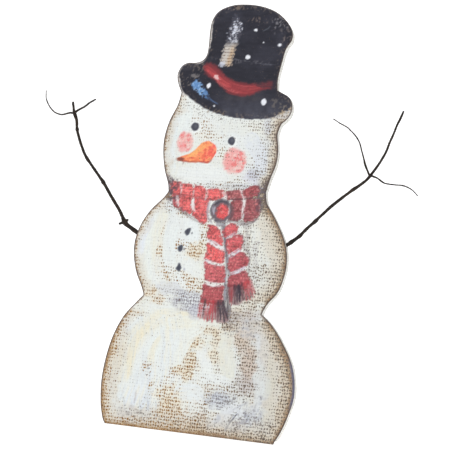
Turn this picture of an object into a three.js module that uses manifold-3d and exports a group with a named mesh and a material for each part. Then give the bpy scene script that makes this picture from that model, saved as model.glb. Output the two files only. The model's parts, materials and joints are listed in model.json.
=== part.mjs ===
// Wooden snowman figure on an easel back: a cut-out board with a printed face sheet, two twig arms
// pushed into drilled holes, and a hinged strut behind it. Millimetres, +Z up, front facing -Y.
// Everything is drawn in the board's own frame (x across, y rearwards from the front surface,
// z up the board) and the whole figure then leans back and stands on z = 0.

import * as THREE from 'three';
import { mergeVertices } from 'three/addons/utils/BufferGeometryUtils.js';
import Module from 'manifold-3d';

const wasm = await Module();
wasm.setup();

// ---- driving dimensions ----
const LEAN = THREE.MathUtils.degToRad(15.5); // how far the board leans back from upright
const STRUT_ANGLE = THREE.MathUtils.degToRad(30); // strut opened away from the board's back
const BASE_HALF_WIDTH = 80; // half of the straight bottom edge
const SHEET = 0.5; // printed face sheet
const GAP = 0.3; // clearance between pieces that rest on each other
const BOARD = 8; // fibreboard thickness
const BACK = SHEET + GAP + BOARD; // depth of the board's back surface
const MID = SHEET + GAP + BOARD / 2; // depth of the arm holes' axes

const LEAF = 1.2; // hinge sheet thickness
const KNUCKLE = 2.4; // hinge barrel's outer radius
const PIN = 1.2; // hinge pin radius
const BORE = 1.28; // hinge barrel's inner radius
const PIN_HEIGHT = 220; // hinge axis above the base, measured along the board
const PIN_DEPTH = BACK + GAP + KNUCKLE;
const BARREL_HALF = 12; // half the barrel's length
const BOARD_LEAF_HEIGHT = 22;
const STRUT_LEAF_HALF = 18;
const STRUT_LEAF_HEIGHT = 25;
const HEEL = 11; // stop ears of the strut leaf, beyond the pin
const KNUCKLE_GAP = 0.3;
const BARREL_RELIEF = 0.5; // clearance of a sheet around the other leaf's barrels
const PIN_ROOM = 1; // room for the pin's peened ends between the barrel and the stop ears
const PEEN = { radius: 1.5, face: 1.0, chamfer: 0.25, reach: 0.7, shoulder: 0.2, neck: 0.1 };
const EAR_ROOT = 6; // overlap of a stop ear with its sheet
const OVERLAP = 0.05; // solids that are joined run into each other by this much

const STRUT = 6; // strut thickness
const STRUT_TOP_HALF = 19;
const STRUT_FOOT_HALF = 29;
const STRUT_CORNER = 7; // rounding of the strut's upper corners
const STRUT_SPARE = 10; // length of the strut blank below the floor, cut off at the floor's angle
const FLOOR = { side: 400, thickness: 40 }; // block that trims the feet flush with the floor

const SCREW = {
  head: 2.6, rim: 0.25, headDepth: 1.1, shank: 1.35, length: 6.2, point: 1.6, tip: 0.25,
  recess: 0.7, slotLength: 2.3, slotWidth: 0.5,
};
const HEAD_SINK = 0.02; // a screw head's face stands this far off the sheet's face
const SCREW_CLEAR = 0.12;
const BOARD_SCREWS = [[-7, 14], [7, 14]];
const STRUT_SCREWS = [[-10, -15], [10, -15]];

const TWIG_ROOT = 1.7; // radius of a twig where it enters the board
const HOLE_CLEAR = 0.3; // arm hole around the twig's root
const HOLE_REACH = 9; // how far the drill passes outside the board's edge
const TWIG_SIDES = 10;

// ---- materials ----
const finish = (color, roughness, metalness = 0) =>
  new THREE.MeshStandardMaterial({ color, roughness, metalness });
const boardMaterial = finish(0xdedbd4, 0.75);
const printMaterial = finish(0xdfe1dc, 0.7);
const twigMaterial = finish(0x2e2620, 0.85);
const strutMaterial = finish(0x9c7a55, 0.8);
const steelMaterial = finish(0xa9a69c, 0.35, 0.9);

// ---- solids ----
function toSolid(geometry) {
  const bare = geometry.clone();
  bare.deleteAttribute('normal');
  bare.deleteAttribute('uv');
  const merged = mergeVertices(bare, 1e-4);
  return new wasm.Manifold(new wasm.Mesh({
    numProp: 3,
    vertProperties: Float32Array.from(merged.attributes.position.array),
    triVerts: Uint32Array.from(merged.index.array),
  }));
}

function toMesh(name, solid, material) {
  const { vertProperties, triVerts } = solid.getMesh();
  const geometry = new THREE.BufferGeometry();
  geometry.setAttribute('position', new THREE.BufferAttribute(Float32Array.from(vertProperties), 3));
  geometry.setIndex(new THREE.BufferAttribute(Uint32Array.from(triVerts), 1));
  const flat = geometry.toNonIndexed();
  flat.computeVertexNormals();
  const mesh = new THREE.Mesh(flat, material);
  mesh.name = name;
  return mesh;
}

const joined = (solids) => solids.reduce((whole, solid) => whole.add(solid));
const carved = (solid, cuts) => cuts.reduce((whole, cut) => whole.subtract(cut), solid);

// A box given by its low and high corners.
function block(low, high) {
  const [dx, dy, dz] = high.map((value, i) => value - low[i]);
  const geometry = new THREE.BoxGeometry(dx, dy, dz);
  geometry.translate(low[0] + dx / 2, low[1] + dy / 2, low[2] + dz / 2);
  return toSolid(geometry);
}

// Everything under a floor that lies `drop` below the origin and tilts about x.
function belowFloor(drop, tilt) {
  const geometry = new THREE.BoxGeometry(FLOOR.side, FLOOR.side, FLOOR.thickness);
  geometry.translate(0, 0, -drop - FLOOR.thickness / 2);
  geometry.rotateX(tilt);
  return toSolid(geometry);
}

// A cylinder between two points.
function rod(start, end, radius, sides = 24) {
  const a = new THREE.Vector3(...start);
  const axis = new THREE.Vector3(...end).sub(a);
  const geometry = new THREE.CylinderGeometry(radius, radius, axis.length(), sides);
  geometry.translate(0, axis.length() / 2, 0);
  geometry.applyQuaternion(
    new THREE.Quaternion().setFromUnitVectors(new THREE.Vector3(0, 1, 0), axis.normalize()));
  geometry.translate(a.x, a.y, a.z);
  return toSolid(geometry);
}

// A shape drawn in x and z, extruded over the depths y = front to y = back.
function plate(shape, front, back, curveSegments = 3) {
  const geometry = new THREE.ExtrudeGeometry(shape, {
    depth: back - front, bevelEnabled: false, curveSegments,
  });
  geometry.rotateX(Math.PI / 2);
  geometry.translate(0, back, 0);
  return toSolid(geometry);
}

// ---- the cut-out's outline ----
// Each run is a smooth curve from the last point; runs meet at the corners of the silhouette.
const points = (list) => list.map(([x, z]) => new THREE.Vector2(x, z));
const RIGHT_RUNS = [
  // lower ball, from the right base corner to the waist
  [[86, 12], [91, 27], [94.5, 46], [90, 70], [78, 91], [66, 106], [55.5, 114.5]],
  // middle ball, up to the neck
  [[60, 124.5], [69, 137], [73.5, 157], [72, 175], [66, 190], [57, 205], [48.5, 217], [46, 227]],
  // head, up to the hat's brim
  [[48.5, 240], [52.5, 254], [53, 268], [50.5, 283], [53, 293]],
  // brim's right end
  [[59.5, 300], [61.8, 309], [58.5, 318], [51, 322.5], [45.5, 325]],
  // crown: right side, top and left side, then the brim's left end
  [[44.5, 337], [47, 355], [49, 366], [53.5, 374], [53.5, 382], [47.5, 392], [35, 402], [18, 407.6],
    [0, 408.6], [-12, 406.6], [-22.5, 401], [-27.5, 392], [-28.5, 381], [-28, 368], [-28.5, 358],
    [-32, 352], [-39, 349.3], [-47, 349], [-53, 345], [-55.8, 337], [-54, 328.5], [-49.5, 319.5]],
  // head, down to the neck
  [[-51.5, 307], [-57.5, 292], [-60.8, 275], [-60, 260], [-56.5, 244], [-51, 230], [-49.5, 222.5]],
  // middle ball, down to the waist
  [[-54, 215.5], [-64, 204.5], [-72, 191], [-76.5, 175], [-76, 160], [-71.5, 144], [-64.5, 131],
    [-60.8, 122.5]],
  // lower ball, down to the left base corner
  [[-67, 115], [-77.5, 101.5], [-85.5, 83], [-90, 62], [-91.5, 40], [-89.5, 20], [-86.5, 8],
    [-84.3, 2.5]],
];

function outline(base) {
  const shape = new THREE.Shape();
  shape.moveTo(-BASE_HALF_WIDTH, base);
  shape.lineTo(BASE_HALF_WIDTH, base);
  shape.lineTo(BASE_HALF_WIDTH, 0);
  RIGHT_RUNS.forEach((run) => shape.splineThru(points(run)));
  shape.lineTo(-BASE_HALF_WIDTH, base);
  return shape;
}

// ---- twig arms ----
// A stretch is a smooth run of one thickness; the knots are the swellings where stretches meet.
const LEFT_ROOT = [-65, MID, 174.4];
const LEFT_KNOT = [-91, 4, 190];
const LEFT_FORK = [-158, -2, 294];
const LEFT_ARM = {
  stretches: [
    { radius: TWIG_ROOT, through: [LEFT_ROOT, LEFT_KNOT] },
    { radius: 1.5, through: [LEFT_KNOT, [-98, 2, 202], [-117, -1, 227]] },
    { radius: 1.3, through: [[-117, -1, 227], [-136, -3, 248], [-142, -4, 257], [-151, -3, 276]] },
    { radius: 1.2, through: [[-151, -3, 276], [-155, -2, 288], LEFT_FORK] },
    { radius: 0.9, through: [LEFT_FORK, [-161, 0, 304]] },
    { radius: 0.6, through: [LEFT_FORK, [-150, -4, 298], [-142, -7, 301], [-133, -10, 305]] },
    { radius: 0.5, through: [LEFT_FORK, [-171, 0, 292], [-179, 2, 294], [-188, 4, 301],
      [-194, 6, 309], [-196, 7, 317]] },
    { radius: 1.0, through: [LEFT_KNOT, [-95, 3, 188]] },
  ],
  knots: [[LEFT_KNOT, 2.1], [[-117, -1, 227], 1.8], [[-151, -3, 276], 1.6], [LEFT_FORK, 1.6]],
};
const RIGHT_ROOT = [60, MID, 171.4];
const RIGHT_KNOT = [82, 4, 190];
const RIGHT_FORK = [144, -7, 248];
const RIGHT_ARM = {
  stretches: [
    { radius: TWIG_ROOT, through: [RIGHT_ROOT, RIGHT_KNOT] },
    { radius: 1.5, through: [RIGHT_KNOT, [92, 1, 200], [110, -3, 218], [129, -6, 234]] },
    { radius: 1.3, through: [[129, -6, 234], [138, -7, 241], RIGHT_FORK] },
    { radius: 1.1, through: [RIGHT_FORK, [152, -6, 263], [157, -3, 282]] },
    { radius: 0.8, through: [[157, -3, 282], [161, -1, 296], [165, 1, 310]] },
    { radius: 0.5, through: [RIGHT_FORK, [138, -9, 257], [134, -11, 269], [127, -13, 282],
      [119, -14, 289], [112, -15, 292], [106, -15, 295]] },
    { radius: 0.6, through: [RIGHT_FORK, [150, -6, 246], [155, -4, 243], [162, -2, 242],
      [175, 0, 242], [181, 2, 239], [186, 4, 235]] },
  ],
  knots: [[RIGHT_KNOT, 1.9], [[129, -6, 234], 1.8], [RIGHT_FORK, 1.7], [[157, -3, 282], 1.3],
    [[138, -9, 257], 0.9], [[162, -2, 242], 0.9]],
};

function twigStretch({ radius, through }) {
  if (through.length === 2) return rod(through[0], through[1], radius, TWIG_SIDES);
  const section = new THREE.Shape().absarc(0, 0, radius, 0, 2 * Math.PI);
  const path = new THREE.CatmullRomCurve3(through.map((p) => new THREE.Vector3(...p)));
  return toSolid(new THREE.ExtrudeGeometry(section, {
    extrudePath: path, steps: 4 * (through.length - 1), curveSegments: radius < 0.7 ? 3 : 4,
    bevelEnabled: false,
  }));
}

function twig(name, { stretches, knots }) {
  const swellings = knots.map(([centre, radius]) => {
    const ball = new THREE.SphereGeometry(radius, TWIG_SIDES, 7);
    ball.translate(...centre);
    return toSolid(ball);
  });
  return toMesh(name, joined([...stretches.map(twigStretch), ...swellings]), twigMaterial);
}

// The drilled hole for a twig's root, along the twig's first stretch.
function armHole(root, knot) {
  const start = new THREE.Vector3(...root);
  const mouth = new THREE.Vector3(...knot);
  const along = mouth.clone().sub(start).normalize();
  start.addScaledVector(along, -GAP);
  mouth.addScaledVector(along, HOLE_REACH);
  return rod(start.toArray(), mouth.toArray(), TWIG_ROOT + HOLE_CLEAR, 20);
}

// ---- screws ----
// A countersunk wood screw along +y, its head's face at y = 0.
function screwProfile(grow) {
  const { head, rim, headDepth, shank, length, point, tip } = SCREW;
  return [[0, 0], [head + grow, 0], [head + grow, rim], [shank + grow, headDepth],
    [shank + grow, length - point], [tip, length + grow], [0, length + grow]]
    .map(([r, y]) => new THREE.Vector2(r, y));
}

const screwSolid = (grow = 0) => toSolid(new THREE.LatheGeometry(screwProfile(grow), 16));

function screw(name, [x, z], facing, headFace) {
  const { slotLength, slotWidth, recess } = SCREW;
  const slot = [[slotLength, slotWidth], [slotWidth, slotLength]].map(([w, h]) =>
    block([-w / 2, -recess, -h / 2], [w / 2, recess, h / 2]));
  const mesh = toMesh(name, carved(screwSolid(), slot), steelMaterial);
  mesh.position.set(x, headFace, z);
  if (facing > 0) mesh.rotation.x = Math.PI; // head towards +y
  return mesh;
}

function screwHole([x, z], facing, headFace) {
  const solid = screwSolid(SCREW_CLEAR);
  return (facing > 0 ? solid.rotate([180, 0, 0]) : solid).translate([x, headFace, z]);
}

// ---- hinge, drawn about its pin: x along the pin, y rearwards, z up ----
const span = (BARREL_HALF * 2) / 5;
const knuckleSpan = (index) => {
  const left = -BARREL_HALF + index * span;
  return [left + KNUCKLE_GAP / 2, left + span - KNUCKLE_GAP / 2];
};
const BOARD_KNUCKLES = [0, 2, 4].map(knuckleSpan);
const STRUT_KNUCKLES = [1, 3].map(knuckleSpan);
const barrel = (spans, radius, spare = 0) => spans.map(([from, to]) =>
  rod([from - spare, 0, 0], [to + spare, 0, 0], radius));
const boreCut = () => rod([-BARREL_HALF - 2, 0, 0], [BARREL_HALF + 2, 0, 0], BORE);
const HEAD_FACE = -KNUCKLE - HEAD_SINK; // at the strut leaf's outer face, towards the board
const BOARD_HEAD_FACE = -KNUCKLE + LEAF + HEAD_SINK;

function boardLeaf() {
  const sheet = block([-BARREL_HALF, -KNUCKLE, 0], [BARREL_HALF, -KNUCKLE + LEAF, BOARD_LEAF_HEIGHT]);
  const relief = barrel(STRUT_KNUCKLES, KNUCKLE + BARREL_RELIEF, KNUCKLE_GAP);
  const holes = BOARD_SCREWS.map((at) => screwHole(at, 1, BOARD_HEAD_FACE));
  const leaf = joined([carved(sheet, relief), ...barrel(BOARD_KNUCKLES, KNUCKLE)]);
  return carved(leaf, [boreCut(), ...holes]);
}

// One stop ear: it wraps the pin's line and lies along the board once the strut is open.
function stopEar(from, to) {
  const bend = new THREE.Shape();
  bend.absarc(0, 0, KNUCKLE, Math.PI, Math.PI - STRUT_ANGLE, true);
  bend.absarc(0, 0, KNUCKLE - LEAF, Math.PI - STRUT_ANGLE, Math.PI, false);
  const wrap = new THREE.ExtrudeGeometry(bend, { depth: to - from, bevelEnabled: false, curveSegments: 4 });
  wrap.rotateY(Math.PI / 2);
  wrap.rotateX(Math.PI / 2);
  wrap.translate(from, 0, 0);
  const heel = new THREE.BoxGeometry(to - from, LEAF, HEEL);
  heel.translate((from + to) / 2, -KNUCKLE + LEAF / 2, HEEL / 2 - OVERLAP);
  heel.rotateX(-STRUT_ANGLE);
  const root = block([from, -KNUCKLE, -EAR_ROOT], [to, -KNUCKLE + LEAF, OVERLAP]);
  return joined([toSolid(wrap), toSolid(heel), root]);
}

function strutLeaf() {
  const sheet = block([-STRUT_LEAF_HALF, -KNUCKLE, -STRUT_LEAF_HEIGHT],
    [STRUT_LEAF_HALF, -KNUCKLE + LEAF, 0]);
  const ends = [[-BARREL_HALF - PIN_ROOM, -BARREL_HALF], [BARREL_HALF, BARREL_HALF + PIN_ROOM]];
  const relief = [...barrel(BOARD_KNUCKLES, KNUCKLE + BARREL_RELIEF, KNUCKLE_GAP), ...barrel(ends, KNUCKLE)];
  const ears = [[-STRUT_LEAF_HALF, -BARREL_HALF - PIN_ROOM], [BARREL_HALF + PIN_ROOM, STRUT_LEAF_HALF]];
  const holes = STRUT_SCREWS.map((at) => screwHole(at, -1, HEAD_FACE));
  const leaf = joined([carved(sheet, relief), ...barrel(STRUT_KNUCKLES, KNUCKLE),
    ...ears.map(([from, to]) => stopEar(from, to))]);
  return carved(leaf, [boreCut(), ...holes]);
}

function hingePin() {
  const { radius, face, chamfer, reach, shoulder, neck } = PEEN;
  const end = BARREL_HALF + reach;
  const half = [[0, -end], [face, -end], [radius, chamfer - end], [radius, -BARREL_HALF - shoulder],
    [PIN, -BARREL_HALF - neck]];
  const profile = points([...half, ...half.toReversed().map(([r, y]) => [r, -y])]);
  const geometry = new THREE.LatheGeometry(profile, 20);
  geometry.rotateZ(Math.PI / 2);
  return toSolid(geometry);
}

// ---- strut, about the pin, hanging down ----
const PIN_RISE = PIN_HEIGHT * Math.cos(LEAN) - PIN_DEPTH * Math.sin(LEAN);
const STRUT_TILT = STRUT_ANGLE - LEAN; // strut's slope from vertical when it stands open
const STRUT_REACH = PIN_RISE / Math.cos(STRUT_TILT);
const STRUT_TOP = KNUCKLE + 1;

function strut() {
  const low = -STRUT_REACH - STRUT_SPARE;
  const shape = new THREE.Shape();
  shape.moveTo(-STRUT_FOOT_HALF, low);
  shape.lineTo(STRUT_FOOT_HALF, low);
  shape.lineTo(STRUT_TOP_HALF, -STRUT_TOP - STRUT_CORNER);
  shape.quadraticCurveTo(STRUT_TOP_HALF, -STRUT_TOP, STRUT_TOP_HALF - STRUT_CORNER, -STRUT_TOP);
  shape.lineTo(-STRUT_TOP_HALF + STRUT_CORNER, -STRUT_TOP);
  shape.quadraticCurveTo(-STRUT_TOP_HALF, -STRUT_TOP, -STRUT_TOP_HALF, -STRUT_TOP - STRUT_CORNER);
  shape.closePath();
  const front = -KNUCKLE + LEAF + GAP;
  const pilots = STRUT_SCREWS.map((at) => screwHole(at, -1, HEAD_FACE));
  return carved(plate(shape, front, front + STRUT, 6), [belowFloor(PIN_RISE, -STRUT_TILT), ...pilots]);
}

// ---- board and face ----
const floorCut = () => belowFloor(0, LEAN);

function boardPanel() {
  const holes = [armHole(LEFT_ROOT, LEFT_KNOT), armHole(RIGHT_ROOT, RIGHT_KNOT)];
  const pilots = BOARD_SCREWS.map((at) =>
    screwHole(at, 1, BOARD_HEAD_FACE).translate([0, PIN_DEPTH, PIN_HEIGHT]));
  return carved(plate(outline(-1), SHEET + GAP, BACK), [...holes, ...pilots, floorCut()]);
}

function printedFace() {
  return carved(plate(outline(-1), 0, SHEET), [floorCut().translate([0, 0, GAP])]);
}

// ---- assembly ----
const lean = new THREE.Group();
lean.rotation.x = -LEAN;
lean.add(toMesh('board_panel', boardPanel(), boardMaterial));
lean.add(toMesh('printed_face', printedFace(), printMaterial));
lean.add(twig('arm_left', LEFT_ARM));
lean.add(twig('arm_right', RIGHT_ARM));

const hinge = new THREE.Group();
hinge.position.set(0, PIN_DEPTH, PIN_HEIGHT);
hinge.add(toMesh('hinge_leaf_board', boardLeaf(), steelMaterial));
hinge.add(toMesh('hinge_pin', hingePin(), steelMaterial));
BOARD_SCREWS.forEach((at, i) => hinge.add(screw(`board_screw_${i + 1}`, at, 1, BOARD_HEAD_FACE)));
lean.add(hinge);

const leg = new THREE.Group();
leg.rotation.x = STRUT_ANGLE;
leg.add(toMesh('easel_strut', strut(), strutMaterial));
leg.add(toMesh('hinge_leaf_strut', strutLeaf(), steelMaterial));
STRUT_SCREWS.forEach((at, i) => leg.add(screw(`strut_screw_${i + 1}`, at, -1, HEAD_FACE)));
hinge.add(leg);

const figure = new THREE.Group();
figure.add(lean);
const bounds = new THREE.Box3().setFromObject(figure, true);
const centre = bounds.getCenter(new THREE.Vector3());
lean.position.set(-centre.x, -centre.y, 0);

export default figure;
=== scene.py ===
"""Looks of the wooden snowman figure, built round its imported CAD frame.

The figure is a fibreboard cut-out with a painted burlap print bonded to its front, two twig arms in
drilled holes and a hinged strut behind. Everything on the board is drawn in the board's own frame,
in millimetres: u across, depth rearwards from the printed front, v up the leaning board.
Colours are sRGB, 0 to 255.
"""
import json
import math

import bmesh
import bpy
import numpy as np
from mathutils import Matrix, Vector, noise as solid_noise


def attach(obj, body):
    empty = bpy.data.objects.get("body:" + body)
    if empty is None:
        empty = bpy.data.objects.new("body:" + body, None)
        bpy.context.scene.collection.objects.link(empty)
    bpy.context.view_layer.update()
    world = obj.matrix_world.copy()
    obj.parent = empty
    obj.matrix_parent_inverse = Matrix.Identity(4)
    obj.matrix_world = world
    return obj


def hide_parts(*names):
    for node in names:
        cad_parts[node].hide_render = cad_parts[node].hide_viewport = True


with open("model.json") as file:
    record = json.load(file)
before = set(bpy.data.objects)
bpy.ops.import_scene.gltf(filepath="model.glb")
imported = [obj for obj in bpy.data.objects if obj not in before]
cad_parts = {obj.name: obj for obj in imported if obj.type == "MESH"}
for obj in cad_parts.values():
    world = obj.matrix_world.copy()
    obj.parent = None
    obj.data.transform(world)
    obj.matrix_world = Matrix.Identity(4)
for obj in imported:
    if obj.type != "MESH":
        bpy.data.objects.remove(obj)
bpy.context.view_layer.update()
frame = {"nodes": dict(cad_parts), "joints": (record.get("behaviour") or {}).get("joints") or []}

MM = 0.001


# ---- the board's own frame, found from the hinge ----
LEAN = math.radians(15.5)
PIN_DEPTH = 11.5
PIN_HEIGHT = 220
HINGE = Vector(frame["joints"][0]["pos_m"])
BOARD = (Matrix.Translation(HINGE) @ Matrix.Rotation(-LEAN, 4, "X")
         @ Matrix.Scale(MM, 4) @ Matrix.Translation((0, -PIN_DEPTH, -PIN_HEIGHT)))


# ---- sizes, millimetres ----
SHEET_BACK = 0.55       # depth of the print's back, where the board starts
BOARD_BACK = 8.8
FACE_STEP = 0.78        # mesh size of the printed front
BACK_STEP = 2.4         # mesh size of the board's back
FACE_ROUNDING = 0.18    # radius of the print's edges
BOARD_ROUNDING = 0.5    # radius of the board's edges
WEAVE_ACROSS = 2.35     # burlap thread spacing
WEAVE_UP = 3.0
HOLE_RADIUS = 2.0       # drilled arm holes


# ---- noise ----
def grid_hash(ix, iy, seed):
    n = np.sin(ix * 127.1 + iy * 311.7 + seed * 74.7) * 43758.5453
    return n - np.floor(n)


def noise(x, y, seed=0):
    """Smooth noise, -1 to 1, with features one unit across."""
    ix, iy = np.floor(x), np.floor(y)
    fx, fy = x - ix, y - iy
    fx, fy = fx * fx * (3 - 2 * fx), fy * fy * (3 - 2 * fy)
    top = grid_hash(ix, iy + 1, seed) * (1 - fx) + grid_hash(ix + 1, iy + 1, seed) * fx
    low = grid_hash(ix, iy, seed) * (1 - fx) + grid_hash(ix + 1, iy, seed) * fx
    return 2 * (low * (1 - fy) + top * fy) - 1


def cloud(x, y, size, seed=0):
    """Three layers of noise, the coarsest `size` millimetres across."""
    layers = [noise(x / size * 2 ** k, y / size * 2 ** k, seed + 17 * k) / 2 ** k for k in range(3)]
    return sum(layers) / 1.75


def ramp(value, low, high):
    """0 at low, 1 at high and smooth between; low may be the greater."""
    t = np.clip((value - low) / (high - low), 0, 1)
    return t * t * (3 - 2 * t)


# ---- outlines and paths ----
def smooth_path(points, closed=False, per=6):
    """A smooth curve through points of any number of columns, `per` steps from each to the next."""
    p = np.array(points, float)
    if closed:
        p = np.vstack([p[-1], p, p[0], p[1]])
    else:
        p = np.vstack([2 * p[0] - p[1], p, 2 * p[-1] - p[-2]])
    t = np.linspace(0, 1, per, endpoint=False)[:, None]
    runs = [0.5 * (2 * b + (c - a) * t + (2 * a - 5 * b + 4 * c - d) * t ** 2
                   + (3 * b - 3 * c + d - a) * t ** 3) for a, b, c, d in zip(p, p[1:], p[2:], p[3:])]
    return np.vstack(runs if closed else [*runs, p[-2]])


def signed_distance(loop, u, v):
    """Distance to a closed loop, positive inside."""
    best = np.full(u.shape, 1e9)
    odd = np.zeros(u.shape, bool)
    for (u0, v0), (u1, v1) in zip(loop, np.roll(loop, -1, 0)):
        du, dv = u1 - u0, v1 - v0
        t = np.clip(((u - u0) * du + (v - v0) * dv) / (du * du + dv * dv + 1e-12), 0, 1)
        best = np.minimum(best, (u - u0 - t * du) ** 2 + (v - v0 - t * dv) ** 2)
        if v0 != v1:
            odd ^= ((v0 > v) != (v1 > v)) & (u < (u1 - u0) * (v - v0) / (v1 - v0) + u0)
    return np.where(odd, np.sqrt(best), -np.sqrt(best))


# ---- brushes ----
class Canvas:
    """Paint at a set of points: its colour, how far it covers the burlap, the white brushed over the
    threads' crowns (dry) and the dark grit (soot)."""

    def __init__(self, u, v):
        self.u, self.v = u, v
        self.all = np.arange(len(u))
        self.rgb = np.zeros((len(u), 3))
        self.cover = np.zeros(len(u))
        self.dry = np.zeros(len(u))
        self.soot = np.zeros(len(u))

    def lay(self, idx, alpha, colour, cover=None, dry=None):
        a = np.clip(alpha, 0, 1)
        self.rgb[idx] += (np.asarray(colour, float) - self.rgb[idx]) * a[:, None]
        if cover is not None:
            self.cover[idx] += (cover - self.cover[idx]) * a
        if dry is not None:
            self.dry[idx] += (dry - self.dry[idx]) * a

    def near(self, points, reach):
        p = np.array(points, float)[:, :2]
        low, high = p.min(0) - reach, p.max(0) + reach
        within_u = (self.u > low[0]) & (self.u < high[0])
        return np.nonzero(within_u & (self.v > low[1]) & (self.v < high[1]))[0]

    def ellipse(self, u, v, across, up, turn, limit=2.0):
        """Points near an ellipse turned by `turn` degrees, and how far out each is: 1 is on its edge."""
        a = np.radians(turn)
        du, dv = self.u - u, self.v - v
        x = (du * np.cos(a) + dv * np.sin(a)) / across
        y = (-du * np.sin(a) + dv * np.cos(a)) / up
        r = np.sqrt(x * x + y * y)
        idx = np.nonzero(r < limit)[0]
        return idx, r[idx]

    def inside(self, outline, reach=4.0, wobble=0.0, size=3.0, seed=1):
        """Points near a closed outline with a wobbly edge, and how deep inside it each is."""
        path = smooth_path(outline, closed=True)
        idx = self.near(path, reach)
        x, y = self.u[idx], self.v[idx]
        x = x + wobble * noise(x / size, y / size, seed)
        y = y + wobble * noise(x / size + 9.1, y / size - 4.7, seed)
        return idx, signed_distance(path, x, y)

    def along(self, points, reach=3.0):
        """Points near an open path of (u, v, half width): how far each is to one side of it, the half
        width there and the distance run along it; and last the whole length."""
        path = smooth_path(points)
        idx = self.near(path, reach + np.max(path[:, 2]))
        x, y = self.u[idx], self.v[idx]
        best = np.full(len(idx), 1e9)
        side, run, half = np.zeros(len(idx)), np.zeros(len(idx)), np.ones(len(idx))
        total = 0.0
        for (x0, y0, w0), (x1, y1, w1) in zip(path, path[1:]):
            dx, dy = x1 - x0, y1 - y0
            length = np.hypot(dx, dy) + 1e-9
            t = np.clip(((x - x0) * dx + (y - y0) * dy) / (length * length), 0, 1)
            ex, ey = x - x0 - t * dx, y - y0 - t * dy
            d = ex * ex + ey * ey
            nearer = d < best
            best = np.where(nearer, d, best)
            side = np.where(nearer, np.sqrt(d) * np.sign(dx * ey - dy * ex), side)
            run = np.where(nearer, total + t * length, run)
            half = np.where(nearer, w0 + t * (w1 - w0), half)
            total += length
        return idx, side, half, run, total

    def patch(self, outline, colour, alpha=1.0, soft=0.6, cover=None, wobble=0.5, size=2.5, seed=1):
        """A painted shape with a slightly ragged edge."""
        idx, d = self.inside(outline, soft + 4, wobble, size, seed)
        self.lay(idx, ramp(d, -soft, soft) * alpha, colour, cover)

    def oval(self, u, v, across, up, colour, **style):
        t = np.linspace(0, 2 * np.pi, 10, endpoint=False)
        self.patch(np.c_[u + across * np.cos(t), v + up * np.sin(t)], colour, **style)

    def stroke(self, path, colour, alpha=1.0, soft=0.5, cover=None, bristle=0.5, hair=0.9, ragged=3.0,
               seed=1):
        """A brush stroke along (u, v, half width), with bristle marks and ragged ends."""
        idx, side, half, run, total = self.along(path)
        hairs = (0.6 * noise(side / hair + 50, run / 11.0, seed)
                 + 0.4 * noise(side / (hair * 0.45), run / 6.0, seed + 3))
        edge = ramp(half - np.abs(side) + 0.5 * noise(run / 3.0, side, seed + 1), -soft, soft)
        ends = ramp(np.minimum(run, total - run) + ragged * (0.5 + 0.5 * hairs) - 0.2, 0.0, ragged)
        a = edge * ends * np.clip(1 + bristle * (hairs - 0.5), 0, 1)
        self.lay(idx, a * alpha, colour, cover)

    def strokes(self, seed, column, rows, **style):
        """Strokes seeded one after another. A row is a colour, its strength, the setting that `column`
        names, the path, and any settings of its own."""
        for k, (colour, alpha, value, path, *own) in enumerate(rows):
            settings = {"seed": seed + k, column: value, **style, **dict(*own)}
            self.stroke(path, colour, alpha, **settings)

    def wear(self, seed, rows):
        """Worn places seeded one after another: inside an ellipse with a broken edge the coverage falls
        towards a row's own, and its colour is rubbed in."""
        for k, (u, v, across, up, turn, cover, colour, tint, *own) in enumerate(rows):
            style = {"soft": 0.55, "size": 4.0, "dry": None, **dict(*own)}
            idx, r = self.ellipse(u, v, across, up, turn)
            broken = cloud(self.u[idx], self.v[idx], style["size"], seed + k)
            a = ramp(1.0 - r + 0.75 * broken, -style["soft"], style["soft"])
            self.cover[idx] += (THINNEST + 0.5 * cover - self.cover[idx]) * a
            if style["dry"] is not None:
                self.dry[idx] += (style["dry"] - self.dry[idx]) * a
            if colour:
                rubbed = 0.9 if style["dry"] is not None else 0.45 if sum(colour) < DARK else 0.3
                self.lay(idx, a * tint * rubbed, colour)


# ---- the painting: its marks are listed in board millimetres ----
WAIST = 117         # heights where the snowman's parts meet
NECK = 225
BRIM = 318
WHITE = (231, 234, 230)
MILK = (227, 233, 234)
COOL = (230, 235, 234)
BUTTER = (233, 228, 206)
IVORY = (238, 226, 192)
OAT = (232, 220, 190)
FROST = (186, 190, 204)
CREAM = (230, 216, 190)
STRAW = (226, 205, 170)
LINEN = (222, 205, 175)
SAND = (222, 190, 150)
WHEAT = (214, 186, 148)
TAN = (222, 190, 140)
THINNEST = 0.31     # coverage of the most worn places
DARK = 600          # a worn place's colour whose channels add up to less is rubbed in harder


def paint_ground(c):
    """White paint over the burlap, thinner in drifts and towards the right."""
    u, v = c.u, c.v
    drift = cloud(u, v, 22, 3)
    right = ramp(u, -25, 25)
    low = ramp(v, WAIST + 5, WAIST - 5)
    middle = ramp(v, WAIST - 5, WAIST + 5) * ramp(v, NECK + 1, NECK - 7)
    head = ramp(v, NECK - 3, NECK + 7)
    c.rgb[:] = WHITE
    c.cover[:] = low * (0.96 - 0.10 * right) + middle * (0.99 - 0.14 * right)
    c.cover += head * (1.02 - 0.14 * ramp(u, 0, 45)) + 0.16 * drift
    side = low * ramp(u, 15, 75) + middle * ramp(u, 10, 60) + head * ramp(u, 15, 50)
    c.lay(c.all, (0.10 + 0.30 * low) * side, (184, 182, 180))
    c.soot[:] = 0.16 * side + 0.1 * drift
    tone = cloud(u + 200, v, 30, 41)
    c.lay(c.all, ramp(tone, -0.2, 0.6) * 0.4, (226, 225, 211))
    c.lay(c.all, ramp(-tone, 0.0, 0.8) * 0.35, (224, 232, 238))


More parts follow.
